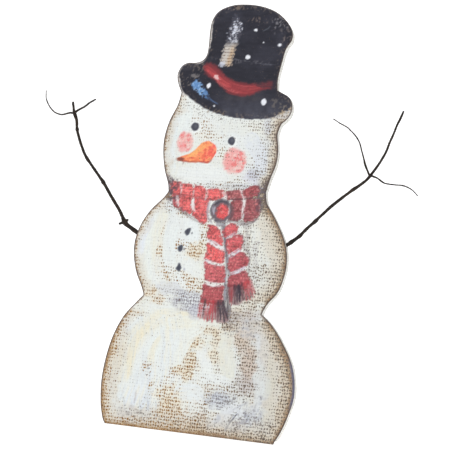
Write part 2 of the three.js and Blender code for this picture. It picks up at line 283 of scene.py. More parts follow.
# u, v, half width, half height, turn, coverage, colour, tint
WORN_PLACES = [
    # middle ball
    (-52, 192, 4, 12, 0, 0.5, STRAW, 0.5),
    (-50, 165, 6, 6, 0, 0.55, STRAW, 0.4),
    (-15, 168, 10, 9, 0, 0.45, TAN, 0.6),
    (-8, 183, 5, 14, 0, 0.6, STRAW, 0.4),
    (-33, 173, 9, 5, 0, 0.6, None, 0),
    (-40, 145, 8, 16, 0, 0.5, LINEN, 0.4),
    (-20, 138, 22, 9, 0, 0.5, LINEN, 0.4),
    (-56, 126, 7, 5, 0, 0.5, SAND, 0.6),
    (-27, 203, 20, 4, -12, 0.7, (215, 200, 180), 0.4),
    (36, 178, 6, 22, 5, 0.74, (226, 210, 185), 0.5),
    (48, 186, 5, 9, 0, 0.8, (215, 195, 190), 0.4),
    (50, 150, 16, 14, 0, 0.55, (200, 196, 184), 0.7),
    (44, 128, 14, 10, 0, 0.6, (205, 195, 178), 0.6),
    # waist and lower ball
    (-46, 119, 7, 5, 0, 0.6, SAND, 0.5),
    (38, 108, 13, 14, 0, 0.5, (196, 178, 160), 1.1),
    (26, 99, 6, 5, 0, 0.32, (196, 165, 130), 0.7),
    (40, 90, 12, 12, 0, 0.5, (198, 174, 152), 1.3),
    (8, 95, 9, 4, -10, 0.62, WHEAT, 0.6),
    (16, 88, 5, 9, 0, 0.62, WHEAT, 0.6),
    (-4, 83, 9, 6, 20, 0.55, TAN, 0.6),
    (16, 72, 10, 6, -25, 0.55, TAN, 0.5),
    (-7, 62, 8, 12, 0, 0.42, TAN, 0.6),
    (-18, 56, 9, 4, 0, 0.55, TAN, 0.5),
    (48, 70, 7, 16, 0, 0.5, (200, 176, 158), 1.4),
    (50, 50, 9, 9, 0, 0.5, (186, 174, 170), 1.3),
    (24, 62, 7, 8, 0, 0.72, (215, 205, 190), 0.4),
    (-47, 54, 4, 9, 0, 0.6, (205, 195, 185), 0.4),
    (-44, 43, 5, 5, 0, 0.6, (215, 195, 165), 0.4),
    (-26, 44, 1.6, 6, 0, 0.55, None, 0),
    (30, 43, 28, 6, 0, 0.62, (205, 200, 195), 0.5),
    (12, 34, 11, 12, 0, 0.62, (205, 195, 180), 0.5),
    (-22, 26, 14, 12, 0, 0.45, (222, 190, 145), 0.6),
    (-12, 10, 24, 10, 0, 0.42, (196, 180, 165), 0.6),
    (10, 12, 12, 7, 10, 0.42, (200, 170, 140), 0.6),
    (2, 4, 46, 4.5, 0, 0.34, (196, 170, 140), 0.6),
    (60, 34, 5, 14, 0, 0.66, (205, 190, 175), 0.4),
    (-30, 4, 24, 4, 0, 0.5, (190, 180, 178), 0.5),
    # face
    (22, 288, 24, 6, 0, 0.72, (226, 214, 190), 0.4),
    (-22, 284, 10, 8, 0, 0.76, CREAM, 0.4),
    (-14, 278, 16, 3.5, 0, 0.76, CREAM, 0.4),
    (2, 262, 8, 9, 0, 0.76, CREAM, 0.5),
    (34, 250, 9, 16, 0, 0.78, (206, 208, 218), 0.5),
    (-27, 294, 12, 4, 0, 0.8, None, 0),
    (10, 236, 28, 6, 0, 0.8, (214, 216, 222), 0.5),
]

# colour, strength, coverage, path of (u, v, half width)
BODY_STROKES = [
    # lower ball
    (MILK, 1.0, 1.12, [(-72, 12, 5), (-76, 35, 6.5), (-75, 62, 6.5), (-68, 84, 6), (-56, 101, 5)]),
    (COOL, 1.0, 1.12, [(-60, 22, 6), (-63, 45, 7), (-58, 70, 8), (-46, 92, 8), (-30, 104, 6)]),
    ((232, 237, 234), 1.0, 1.12, [(-46, 66, 7), (-38, 84, 9), (-22, 98, 9), (-4, 106, 6)]),
    ((233, 237, 232), 1.0, 1.12, [(-24, 66, 9), (-14, 88, 9), (-2, 98, 6)]),
    (COOL, 1.0, 1.12, [(-34, 50, 6), (-30, 72, 7), (-22, 88, 6)]),
    (BUTTER, 0.75, None, [(-64, 45, 2.6), (-65, 62, 3.6), (-62, 80, 4.2), (-52, 95, 3.4)]),
    (BUTTER, 0.6, None, [(-46, 62, 2.4), (-44, 74, 3), (-39, 84, 2)]),
    (BUTTER, 0.6, None, [(-45, 108, 2.5), (-25, 110, 3.0), (-5, 108, 2.5)]),
    ((229, 235, 238), 0.8, 1.3, [(-52, 20, 7), (-50, 40, 6), (-42, 55, 5)]),
    ((230, 236, 238), 0.9, 1.2, [(-12, 36, 7), (2, 38, 7), (8, 32, 4)]),
    ((234, 238, 236), 0.9, 1.2, [(2, 78, 4.5), (8, 66, 5), (12, 56, 5)]),
    ((226, 227, 216), 0.9, 1.3, [(26, 92, 5.5), (26, 78, 7), (30, 64, 7), (32, 54, 5)]),
    ((231, 236, 236), 0.7, 1.0, [(8, 50, 4), (20, 52, 4.5), (34, 50, 3)]),
    ((222, 226, 228), 0.9, 1.3, [(56, 104, 6), (60, 88, 6), (62, 72, 5)]),
    ((219, 224, 224), 0.9, 1.3, [(60, 56, 5), (63, 42, 5), (66, 26, 5)]),
    ((214, 215, 205), 0.85, 1.2, [(70, 80, 4), (72, 60, 4), (71, 40, 5), (68, 20, 6), (66, 8, 4)]),
    ((221, 225, 230), 0.85, 1.2, [(22, 6, 5), (32, 14, 7), (42, 26, 6)]),
    ((196, 199, 203), 0.75, 1.0, [(44, 6, 6), (52, 18, 7), (58, 28, 5)]),
    ((224, 230, 236), 0.8, 1.2, [(-66, 4, 5), (-60, 16, 6), (-58, 32, 5)]),
    ((218, 224, 230), 0.7, 0.95, [(-42, 8, 5), (-44, 20, 6), (-46, 30, 5)]),
    # middle ball
    ((232, 237, 232), 1.0, 1.4, [(-58, 130, 5), (-62, 150, 6.5), (-60, 175, 7), (-54, 196, 6),
     (-44, 205, 4)]),
    ((226, 232, 240), 0.9, 1.2, [(-70, 160, 3.5), (-69, 178, 4), (-62, 196, 3.5)]),
    ((231, 237, 236), 0.9, 1.3, [(-38, 152, 6), (-42, 172, 6), (-40, 190, 6)]),
    ((233, 239, 239), 0.95, 1.3, [(-24, 196, 6), (-20, 184, 6), (-16, 176, 4)]),
    ((233, 238, 236), 0.9, 1.3, [(-24, 156, 7), (-14, 150, 6), (-7, 146, 4)]),
    ((233, 238, 238), 0.8, 1.02, [(-32, 142, 5), (-26, 135, 5), (-20, 130, 3)]),
    ((224, 227, 224), 0.9, 1.2, [(44, 204, 5), (52, 192, 6), (58, 176, 6), (60, 160, 5)]),
    ((229, 232, 228), 0.8, 1.2, [(40, 196, 4), (42, 182, 4.5), (41, 168, 4)]),
    ((222, 222, 214), 0.6, 0.9, [(50, 132, 5), (54, 140, 5), (58, 150, 4)]),
    ((232, 237, 236), 0.8, 1.2, [(-44, 132, 5), (-50, 142, 5)]),
    ((231, 236, 234), 0.7, 1.2, [(-54, 112, 5), (-40, 108, 6), (-26, 112, 4)]),
]
# colour, strength, softness, path
SOFT_STROKES = [
    (OAT, 0.28, 2.5, [(-50, 202, 5), (-54, 184, 6), (-53, 164, 6), (-48, 144, 5)]),
    (OAT, 0.18, 2.5, [(42, 200, 6), (50, 184, 8), (54, 166, 8)]),
    ((206, 186, 164), 0.22, 2.5, [(60, 186, 6), (66, 170, 6), (66, 152, 6)]),
    (FROST, 0.55, 1.0, [(58, 128, 1.6), (67, 138, 1.8), (71.4, 152, 2.0), (71.6, 168, 1.8), (69, 182, 1.4)]),
    (IVORY, 0.35, 3.5, [(-74, 40, 9), (-70, 66, 10), (-58, 88, 9), (-40, 104, 7)]),
    (IVORY, 0.30, 3.5, [(-30, 100, 8), (-10, 104, 8)]),
    ((214, 212, 210), 0.4, 2, [(64, 96, 4), (72, 84, 5), (78, 68, 5)]),
]
# colour, strength, coverage, path
FACE_STROKES = [
    ((228, 235, 237), 0.9, 1.4, [(-52, 296, 5), (-54, 280, 6), (-54, 262, 6), (-50, 244, 5)]),
    ((232, 238, 236), 0.9, 1.4, [(-40, 300, 5), (-42, 286, 6), (-44, 270, 5)]),
    ((233, 237, 236), 0.95, 1.4, [(-44, 242, 5), (-28, 240, 7), (-8, 240, 7), (10, 242, 6)]),
    ((234, 238, 236), 0.9, 1.4, [(-30, 248, 5), (-10, 246, 5), (0, 246, 4)]),
    ((222, 227, 233), 0.85, 1.3, [(26, 276, 8), (36, 262, 7), (40, 246, 5)]),
    ((228, 231, 226), 0.75, 1.2, [(-8, 288, 6), (8, 288, 6), (20, 284, 5)]),
    ((214, 214, 226), 0.7, 1.0, [(24, 244, 6), (34, 238, 5), (40, 234, 3)]),
]


def paint_streaks(c):
    """Brush hairs in the thick paint: cool and cream down the left of the lower ball, faint elsewhere."""
    u, v = c.u, c.v
    bent = u + 0.004 * (v - 58) ** 2
    hairs = noise(bent / 1.1, v / 11, 700) * 0.6 + noise(bent / 2.6, v / 16, 701) * 0.5
    left = ramp(u, -4, -30) * ramp(v, 114, 106)
    c.lay(c.all, ramp(hairs, 0.05, 0.6) * left * 0.30, (206, 213, 220))
    c.lay(c.all, ramp(-hairs, 0.05, 0.6) * left * 0.28, (238, 229, 202))
    c.cover -= ramp(hairs, 0.15, 0.6) * left * 0.16
    rest = (1 - left) * (1 - ramp(v, 306, 312))
    c.lay(c.all, ramp(noise(u / 1.3, v / 4.5, 702), 0.2, 0.8) * rest * 0.22, (208, 212, 216))


# u, v, half width, half height, turn, coverage, colour, tint
BODY_SHADOWS = [
    (-14, 121, 15, 9, 0, 1.3, (146, 144, 154), 0.95, dict(dry=0.9, soft=0.5)),
    (-8, 112, 7, 5, 0, 1.6, (176, 176, 190), 0.8, dict(dry=0.5)),
    (-36, 130, 10, 5, 0, 1.4, (190, 192, 202), 0.5, dict(dry=0.5)),
    (26, 34, 10, 6, 8, 1.0, (138, 141, 158), 0.85, dict(dry=0.6, size=2.5, soft=0.8)),
    (38, 24, 10, 5, 30, 1.5, (190, 192, 200), 0.5),
    (52, 14, 14, 10, 0, 0.70, (186, 186, 188), 0.4),
    (44, 46, 14, 8, 0, 0.62, (186, 182, 184), 0.3),
    (46, 82, 9, 24, 0, 0.60, (200, 194, 190), 0.25),
    (28, 108, 6, 8, 0, 0.7, (140, 130, 132), 0.8),
    (44, 110, 8, 8, 0, 0.7, (176, 170, 176), 0.6),
    (54, 104, 6, 8, 0, 0.85, (205, 207, 216), 0.6),
]
FACE_SHADOWS = [
    (40, 262, 6, 30, 0, 0.85, (205, 209, 220), 0.6),
    (34, 243, 7, 5, 0, 0.8, (166, 168, 184), 0.7),
    (41, 290, 4, 9, 0, 0.8, (180, 182, 200), 0.7),
    (20, 230, 18, 4, 0, 0.8, (176, 176, 190), 0.7),
    (-10, 230, 20, 3, 0, 0.85, (196, 200, 208), 0.6),
    (-44, 206, 7, 5, 0, 0.85, (196, 202, 214), 0.6),
    (30, 196, 8, 5, 0, 0.8, (190, 186, 184), 0.6),
    (33, 186, 2.5, 22, 6, 0.85, (150, 146, 150), 0.7),
    (43, 166, 3.0, 16, 4, 0.8, (180, 176, 178), 0.6),
]
# u, v, half width, half height, turn, strength
MARBLED = [
    (42, 15, 20, 10, 22, 0.95), (62, 26, 9, 16, 0, 0.45), (30, 30, 12, 6, 10, 0.5),
    (-58, 10, 14, 8, 0, 0.6), (46, 100, 12, 9, -40, 0.45), (60, 84, 6, 16, 10, 0.4),
]


def paint_marbled(c, spot, amount, seed):
    """Thick white and slate paint half mixed on the canvas."""
    idx, r = c.ellipse(*spot)
    u, v = c.u[idx], c.v[idx]
    reach = ramp(1.0 - r + 0.7 * cloud(u, v, 5, seed), -0.4, 0.5) * amount
    bent_u = u + 2.0 * noise(u / 6, v / 6, seed + 1)
    bent_v = v + 2.0 * noise(u / 6, v / 6, seed + 2)
    swirl = cloud(bent_u, bent_v, 3.2, seed + 3)
    c.lay(idx, reach, (219, 223, 227), cover=1.45)
    c.lay(idx, reach * ramp(swirl, 0.02, 0.35), (172, 175, 186))
    c.lay(idx, reach * ramp(-swirl, 0.25, 0.55), (122, 120, 128))


def paint_shadows(c):
    """Grey beside the scarf's left tail, slate round the base, and cool shade on the face's right."""
    c.wear(101, BODY_SHADOWS)
    c.strokes(113, "cover", [
        ((134, 136, 150), 0.6, None, [(40, 6, 0.8), (52, 20, 1.2), (60, 26, 0.9)]),
        ((150, 152, 168), 0.5, None, [(28, 14, 0.8), (40, 26, 0.9), (52, 34, 0.8)]),
        ((190, 188, 186), 0.45, 0.6, [(64, 4, 4), (72, 14, 4), (78, 22, 3)]),
    ])
    c.strokes(116, "cover", [
        ((172, 182, 200), 0.45, None, [(u, 2, 0.7), (u + 1, 14, 0.8), (u - 1, 26, 0.6)])
        for u in (-66, -58, -50, -42, -34)])
    c.stroke([(-56, 22, 0.8), (-55, 32, 0.8)], (150, 140, 145), 0.5, seed=122)
    for k, (*spot, amount) in enumerate(MARBLED):
        paint_marbled(c, spot, amount, 770 + 5 * k)
    # a thick white lick with dark cracks in it
    c.strokes(795, "soft", [
        ((224, 228, 231), 0.85, 2, [(22, 5, 6), (30, 13, 8), (38, 22, 8), (46, 31, 5)], dict(cover=1.5)),
        ((70, 73, 90), 0.9, 0.4, [(31, 2, 0.5), (35, 9, 0.9), (40, 17, 0.7), (44, 23, 0.4)], dict(seed=112)),
        ((120, 124, 146), 0.7, 0.4, [(38, 9, 0.5), (44, 14, 0.8), (52, 16, 0.6), (56, 21, 0.4)],
         dict(seed=796)),
        ((182, 188, 202), 0.6, 0.5, [(24, 12, 1.4), (27, 17, 2.0), (26, 21, 1.2)], dict(seed=797)),
    ])
    c.wear(123, FACE_SHADOWS)


# u, v, half width, half height, turn, grit
SOOTY = [
    (48, 16, 20, 11, 20, 0.62), (30, 32, 16, 7, 10, 0.66), (46, 50, 10, 14, 0, 0.44),
    (70, 12, 12, 10, 30, 0.62), (50, 78, 7, 20, 0, 0.36), (34, 106, 14, 10, 0, 0.5), (26, 98, 8, 7, 0, 0.7),
    (56, 108, 8, 6, 0, 0.45), (-50, 12, 18, 9, 0, 0.45), (-20, 8, 26, 7, 0, 0.5), (-47, 54, 3, 9, 0, 0.6),
    (-53, 86, 2, 4, 0, 0.5), (14, 14, 14, 8, 0, 0.5), (42, 132, 12, 12, 0, 0.5), (50, 150, 13, 12, 0, 0.46),
    (36, 186, 4, 20, 6, 0.48), (44, 166, 4, 16, 4, 0.4), (-18, 122, 16, 7, 0, 0.42),
    (-40, 128, 12, 5, 0, 0.4), (-45, 206, 6, 6, 0, 0.5), (-28, 203, 18, 4, -14, 0.46),
    (34, 196, 12, 5, 10, 0.5), (34, 243, 8, 5, 0, 0.62), (20, 231, 20, 4, 0, 0.6), (-8, 231, 22, 3, 0, 0.40),
    (44, 262, 6, 28, 0, 0.5), (36, 290, 12, 6, 0, 0.5), (-4, 296, 30, 3.5, -4, 0.45),
    (-36, 305, 16, 4, -22, 0.45), (46, 236, 6, 10, 0, 0.7), (-50, 232, 4, 8, 0, 0.7),
    (-48, 216, 6, 6, 0, 0.6), (46, 214, 6, 8, 0, 0.6),
]


def paint_soot(c):
    """Raises the dark grit inside ragged ellipses."""
    for k, (*spot, soot) in enumerate(SOOTY):
        idx, r = c.ellipse(*spot, limit=2.2)
        reach = ramp(1.0 - r + 0.6 * cloud(c.u[idx], c.v[idx], 5.0, 600 + k), -0.5, 0.6)
        c.soot[idx] += np.maximum(soot - c.soot[idx], 0) * reach


def paint_worn_rims(c, rim):
    """Burlap and soot along the edges, where the paint is worn off. rim is the distance in from them."""
    u, v = c.u, c.v
    coarse = cloud(u, v, 7, 140)
    fine = cloud(u, v, 2.2, 141)
    body = v < BRIM
    right = u > 0
    low = ramp(v, WAIST - 5, WAIST - 13)
    middle = ramp(v, WAIST + 5, WAIST + 11) * ramp(v, NECK + 1, NECK - 7)
    head = ramp(v, NECK + 3, NECK + 9)
    left_width = low * (9.0 - 4.0 * ramp(v, 60, 100)) + middle * 4.0 + head * 3.4
    right_width = low * (8.5 + 3.5 * ramp(v, 15, 40) * ramp(v, 95, 80)) + middle * 8.5 + head * 5.0
    width = np.where(right, right_width, (u < 0) * left_width)
    worn = ramp(width - rim + 4.2 * coarse + 2.6 * fine, -3.0, 3.0) * body
    c.lay(c.all, worn * (0.30 + 0.30 * right), (202, 182, 156))
    c.cover += (0.40 - 0.04 * right - c.cover) * worn * 0.9
    c.lay(c.all, ramp(2.0 * width - rim + 6 * coarse, -4, 4) * body * 0.5, (212, 202, 186), cover=0.62)
    burnt = ramp(0.40 * width - rim + 1.6 * coarse + 1.6 * fine, -1.6, 1.6) * body
    golden = 1 - 0.55 * ramp(v, 118, 130) * (1 - ramp(u, -10, 10) * ramp(v, 232, 222))
    c.lay(c.all, burnt * golden * (0.6 + 0.2 * right), (150, 116, 84), cover=0.40)
    c.lay(c.all, burnt * (1 - golden) * 0.8, (132, 130, 138), cover=0.62)
    umber = ramp(1.3 - rim + 0.7 * coarse + 0.7 * fine, -0.7, 0.7) * body
    c.lay(c.all, umber * 0.6, (104, 78, 60), cover=0.8)
    c.soot += worn * 0.25 * (0.55 + 0.45 * np.sign(u))
    base = ramp(2.2 - v + 1.6 * coarse, -1.4, 1.4)
    c.lay(c.all, base * 0.42, (118, 88, 64), cover=0.45)


def paint_edge(c, rim):
    """The print's dark edge, bluish on the right of the lower ball."""
    edge = ramp(0.9 - rim + 0.4 * cloud(c.u, c.v, 4, 950), -0.4, 0.5)
    c.lay(c.all, edge * 0.85, (74, 64, 62), cover=0.95)
    blue = ramp(c.v, 28, 40) * ramp(c.v, 80, 68) * (c.u > 60) * ramp(2.2 - rim, -0.6, 0.6)
    c.lay(c.all, 0.8 * blue, (104, 108, 136), cover=0.95)


# ---- the hat ----
HAT = [
    (-41, 315), (-35, 311.5), (-27, 306.5), (-19, 303), (-11, 300.5), (-2, 298.3), (8, 297), (20, 296.3),
    (32, 296.8), (41, 298), (48, 301), (55, 305), (59.5, 309.5), (59, 316), (54, 320.5), (48, 323),
    (44, 327), (43.3, 334), (45, 348), (48, 362), (52, 373), (52.5, 382), (46.5, 391), (34, 400.5),
    (18, 406), (0, 407), (-12, 405), (-20.5, 400), (-25, 392), (-25.3, 380), (-25, 368), (-26.5, 357),
    (-30, 350), (-37, 347.2), (-46, 347.2), (-51.5, 343), (-53, 337), (-51, 330), (-47.5, 322),
]
# u, v, half width, half height, turn, colour, strength
HAT_FLECKS = [
    (-6, 405, 10, 2.6, 0, (150, 128, 108), 0.65), (20, 394, 13, 3.2, 0, (128, 112, 104), 0.6),
    (40, 390, 8, 8, -40, (132, 130, 136), 0.75), (47, 378, 4, 14, 0, (128, 116, 112), 0.7),
    (53, 304, 9, 4.5, 30, (176, 158, 134), 0.9), (48, 313, 8, 6, 0, (118, 110, 104), 0.6),
    (-34, 344, 6, 5, 0, (128, 116, 106), 0.6), (-16, 303, 14, 3, -14, (128, 112, 96), 0.6),
    (-44, 330, 3, 12, 30, (132, 122, 116), 0.6), (30, 300, 22, 2.4, 0, (108, 104, 104), 0.5),
    (10, 352, 34, 2.2, -3, (112, 110, 116), 0.5),
]
HAT_SMEARS = [
    (-46, 345, 8, 3, 0, 1.6, (86, 84, 92), 0.5),
    (-8, 401, 12, 4, 0, 1.6, (72, 76, 92), 0.5),
    (13, 318, 16, 5, 0, 1.6, (96, 84, 78), 0.35),
]


def paint_hat(c, rim):
    """Black felt-like paint with a pale ground round it, worn at its edges."""
    idx, d = c.inside(HAT, wobble=0.5, size=2.2, seed=201)
    a = ramp(d + ramp(6 - rim[idx], 0, 3), -0.7, 0.7)
    x, y = c.u[idx], c.v[idx]
    round_hat = (c.v > BRIM) | ((c.v > 298) & (c.u > 44)) | ((c.v > 316) & (c.u < -40))
    c.lay(np.nonzero(round_hat)[0], np.ones(round_hat.sum()), (206, 202, 198), cover=0.80)
    c.lay(idx, a, (36, 36, 46), cover=1.3, dry=0.0)
    c.soot[idx] *= 1 - a
    c.lay(idx, a * ramp(cloud(x, y, 14, 202), -0.1, 0.7) * 0.5, (60, 60, 72))
    brim = ramp(y, 330, 300) * ramp(x, -22, 0)
    c.lay(idx, a * brim * (0.65 + 0.35 * cloud(x, y, 4, 203)), (80, 81, 93))
    threads = 0.5 + 0.5 * noise(x / 6.0, y / 1.4, 204)
    c.lay(idx, a * 0.22 * threads, (72, 74, 88))
    edge = ramp(5.5 - d + 3.0 * cloud(x, y, 3.0, 205), 0, 5) * a
    spots = ramp(noise(x / 1.25, y / 1.4, 206) + 0.6 * noise(x / 3, y / 3, 2061), 0.25, 0.75)
    c.lay(idx, edge * spots * 0.55, (134, 118, 106))
    for k, (*spot, colour, alpha) in enumerate(HAT_FLECKS):
        paint_flecks(c, spot, colour, alpha, 660 + 4 * k)
    c.wear(214, HAT_SMEARS)


def paint_flecks(c, spot, colour, alpha, seed):
    """Small worn flecks scattered in a ragged ellipse."""
    idx, r = c.ellipse(*spot)
    u, v = c.u[idx], c.v[idx]
    reach = ramp(1.0 - r + 0.7 * cloud(u, v, 4, seed), -0.5, 0.5)
    spots = noise(u / 1.25, v / 1.5, seed + 1) + 0.6 * noise(u / 2.8, v / 2.8, seed + 2)
    c.lay(idx, reach * ramp(spots, 0.1, 0.6) * alpha, colour)


BAND = [
    (-27, 349.5), (-21, 348.6), (-15, 345), (-9, 338.8), (-1, 334), (9, 331.3), (21, 330.6), (31, 332),
    (39, 333.5), (40, 330), (38, 326.5), (32, 325.5), (26, 322.5), (20, 319.8), (12, 318.4), (4, 319.2),
    (-4, 322), (-10, 326.5), (-16, 331.5), (-22, 334.8), (-27.5, 339), (-29.5, 345),
]
# colour, strength, bristle, path
BAND_STROKES = [
    ((168, 68, 72), 0.85, 1.3, [(-27, 345.5, 3.4), (-18, 340, 4.0), (-9, 332.5, 4.4), (1, 327.5, 4.6),
     (12, 325, 4.4), (22, 326, 3.6), (30, 328.5, 2.2)], dict(hair=0.8)),
    ((208, 84, 86), 0.8, 1.1, [(-26, 343, 1.6), (-18, 337, 2.2), (-10, 331.5, 2.6),
     (-2, 327.5, 2.4)], dict(hair=0.8, seed=2221)),
    ((112, 48, 56), 0.75, 0.8, [(-27, 348, 0.8), (-19, 344.5, 1.0), (-11, 338.5, 1.0), (-2, 333, 0.9),
     (9, 330, 1.0), (22, 329.6, 0.8)], dict(hair=0.6, seed=223)),
    ((122, 50, 56), 0.6, 0.9, [(-23, 339, 0.7), (-13, 333.4, 0.8), (-4, 328.6, 0.8),
     (6, 325.6, 0.7)], dict(hair=0.5, seed=2231)),
    ((206, 104, 104), 0.8, 1.1, [(-15, 331.6, 1.2), (-7, 326.6, 1.4), (2, 322.6, 1.2),
     (12, 320.8, 1.0)], dict(hair=0.6, seed=224)),
    ((196, 92, 94), 0.7, 1.0, [(2, 329.4, 0.7), (12, 327.4, 0.8),
     (24, 328.2, 0.6)], dict(hair=0.5, seed=2241)),
    ((128, 52, 58), 0.8, 0.8, [(-4, 321.4, 0.8), (8, 319.4, 1.0), (20, 320.6, 0.8)], dict(seed=225)),
    ((60, 46, 56), 0.95, 0.9, [(24, 330.6, 2.0), (31, 330.2, 3.6), (37, 330.2, 4.2),
     (43, 330, 4.4)], dict(seed=226)),
]
HIGHLIGHT = [
    (-4.5, 399), (-1, 396), (3, 390), (4, 383), (2.8, 375), (1, 368), (-1, 361), (-2.4, 353),
    (-3.6, 347.4), (-9, 347.2), (-14.2, 348), (-13.8, 356), (-12.6, 364), (-11.2, 372), (-10, 380),
    (-8.8, 388), (-7.4, 394),
]
BLUE_LIGHT = [
    (-41, 328.4), (-35, 332.5), (-31.6, 331), (-29, 327.4), (-25.4, 323), (-21.8, 320.6), (-21.6, 316.4),
    (-25, 315), (-29.6, 317.8), (-34, 322), (-38.6, 325),
]
# u, v, half width, half height
SNOW_FLECKS = [
    (17.3, 383.4, 1.7, 1.4), (26.5, 371.4, 0.95, 1.0), (42.2, 369.2, 1.9, 1.5), (12.7, 356.5, 2.4, 2.3),
    (-22.8, 327, 2.1, 2.7), (33.6, 313.2, 2.6, 3.1), (-15.2, 307.6, 1.1, 0.8),
]


def paint_band(c):
    """The red hat band, with a pale glint on it."""
    c.patch(BAND, (136, 54, 60), soft=2.0, cover=1.2, wobble=0.9, size=1.8, seed=221)
    c.strokes(222, "bristle", BAND_STROKES)
    glint = [(-19, 337), (-16.6, 338), (-14, 336), (-13, 333.4), (-15.6, 333), (-18, 334.4)]
    c.patch(glint, (238, 208, 206), alpha=0.85, soft=0.7, wobble=1.2, size=1.2, seed=227)


def paint_highlight(c):
    """The tall light on the crown, speckled at its top and worn to the burlap below."""
    idx, d = c.inside(HIGHLIGHT, wobble=1.3, size=1.8, seed=228)
    x, y = c.u[idx], c.v[idx]
    top = ramp(y, 364, 374)
    grit = noise(x / 0.9, y / 0.9, 229)
    soft = ramp(d + 1.1 * grit, -1.0, 1.4)
    fade = ramp(y, 399, 384)
    specks = grit + 0.8 * noise(x / 2.6, y / 2.6, 239) + 0.5 * fade - 1.24 + 0.16 * d
    c.lay(idx, soft * top * 0.45, (96, 98, 112))
    c.lay(idx, soft * top * ramp(specks, -0.3, 0.5), (212, 217, 230))
    c.lay(idx, soft * (1 - top) * 0.94, (214, 207, 198), cover=0.88)
    tan = ramp(x + 10 - (y - 350) * 0.16, 0.5, 4) * (1 - ramp(y, 360, 372))
    c.lay(idx, soft * tan * 0.75, (196, 166, 134), cover=0.72)
    rows = ramp(np.sin(2 * np.pi * y / WEAVE_UP + 0.6) + 0.5 * grit, 0.35, 1.1)
    c.lay(idx, soft * (1 - 0.5 * top) * rows * 0.55, (104, 90, 88))
    foot = [(-14.5, 350.5), (-11, 351), (-9.4, 348.6), (-11, 346.6), (-14.6, 346.8)]
    c.patch(foot, (204, 208, 222), alpha=0.8, wobble=1.4, size=1.1, seed=230)


def paint_blue_light(c):
    """The blue light on the brim's left."""
    idx, d = c.inside(BLUE_LIGHT, reach=3, wobble=0.9, size=1.8, seed=231)
    x, y = c.u[idx], c.v[idx]
    grit = noise(x / 1.2, y / 1.2, 232)
    broken = ramp(grit + noise(x / 2.4, y / 2.4, 236) + 0.25 + 0.1 * d, -0.3, 0.3)
    a = ramp(d + 0.9 * grit, -1.0, 1.2) * broken
    c.lay(idx, a, (98, 140, 192))
    c.lay(idx, a * ramp(noise(x / 1.5, y / 1.5, 233), 0.0, 0.6), (150, 184, 222))
    c.lay(idx, a * ramp(x + 30 + 0.8 * grit, 0, 6) * 0.5, (72, 106, 156))
    tail = [(-24, 317, 1.6), (-18, 312.6, 1.3), (-11, 309.2, 0.8)]
    c.stroke(tail, (92, 124, 172), alpha=0.75, seed=234, bristle=0.9, hair=0.5)


def paint_hat_marks(c):
    """Snow flecks, a grey dab on the brim and faint brush lines on the crown."""
    for k, spot in enumerate(SNOW_FLECKS):
        c.oval(*spot, (232, 235, 242), soft=0.45, size=1.8, seed=240 + k, cover=1.0)
    c.oval(-37.5, 336, 3.4, 2.4, (134, 128, 126), alpha=0.75, soft=1.0, wobble=1.6, size=1.5, seed=250)
    c.strokes(251, "bristle", [
        ((92, 98, 108), 0.7, 0.5, [(24, 382.5, 0.5), (28, 384.5, 0.7), (31, 387.5, 0.5)]),
        ((98, 98, 108), 0.55, 1.0, [(0, 354.5, 0.8), (14, 351.5, 1.0), (28, 350, 0.9), (41, 349.5, 0.7)]),
        ((112, 110, 116), 0.5, 1.0, [(44, 334, 0.6), (46, 348, 0.7), (48.5, 362, 0.6)]),
    ])


# ---- the face and the coal buttons ----
NOSE = [
    (-45.6, 254.2), (-42, 256.4), (-37, 258.2), (-31.5, 260.8), (-26.5, 265.8), (-21.8, 271),
    (-17, 273.2), (-12, 271.6), (-8.2, 268.6), (-6.8, 263.2), (-8.8, 258.6), (-12.2, 253.8),
    (-15, 251.8), (-22, 252.3), (-30, 251.6), (-37, 251.8), (-42, 252.4),
]


def paint_cheeks(c):
    """Pink dabbed on with a dry brush."""
    for u, v, across, up, seed in ((-38.9, 271, 8.0, 9.8, 301), (12.3, 255.5, 10.9, 11.9, 305)):
        idx = c.near([(u, v)], 20)
        x, y = c.u[idx], c.v[idx]
        r = np.hypot((x - u) / across, (y - v) / up)
        a = ramp(1.02 - r + 0.16 * cloud(x, y, 2.6, seed), -0.16, 0.22)
        c.lay(idx, a * (0.62 + 0.35 * cloud(x, y, 2.4, seed + 1)), (240, 162, 157), cover=0.95)
        c.lay(idx, a * ramp(cloud(x, y, 3.0, seed + 2), 0.0, 0.4) * 0.75, (232, 116, 116))
        c.lay(idx, a * ramp(noise(x / 1.2, y / 1.5, seed + 3), 0.15, 0.6) * 0.75, (243, 214, 207))
    c.oval(5.5, 254, 4.5, 7, (238, 128, 130), alpha=0.4, soft=2.5, wobble=1.5, seed=310)
    c.oval(10, 265, 4, 3, (238, 128, 130), alpha=0.35, soft=2.0, wobble=1.5, seed=311)
    c.oval(-41, 266, 4, 5, (240, 140, 142), alpha=0.35, soft=2.5, wobble=1.5, seed=312)


def paint_eyes(c):
    """Dark eyes in white halos."""
    for u, v, across, up, seed in ((-31.2, 286.3, 3.9, 4.3, 320), (6.8, 274.4, 3.7, 4.1, 322)):
        halo = (u + 0.6, v - 0.4, across + 1.6, up + 1.6)
        c.oval(*halo, (240, 243, 242), alpha=0.8, soft=1.0, seed=seed + 1, cover=1.0)
        c.oval(u, v, across, up, (74, 76, 88), soft=0.55, wobble=0.35, size=2, seed=seed, cover=1.0)
        light = (u + 0.6, v + 0.8, across * 0.45, up * 0.4)
        c.oval(*light, (96, 99, 110), alpha=0.7, soft=0.9, seed=seed + 2)


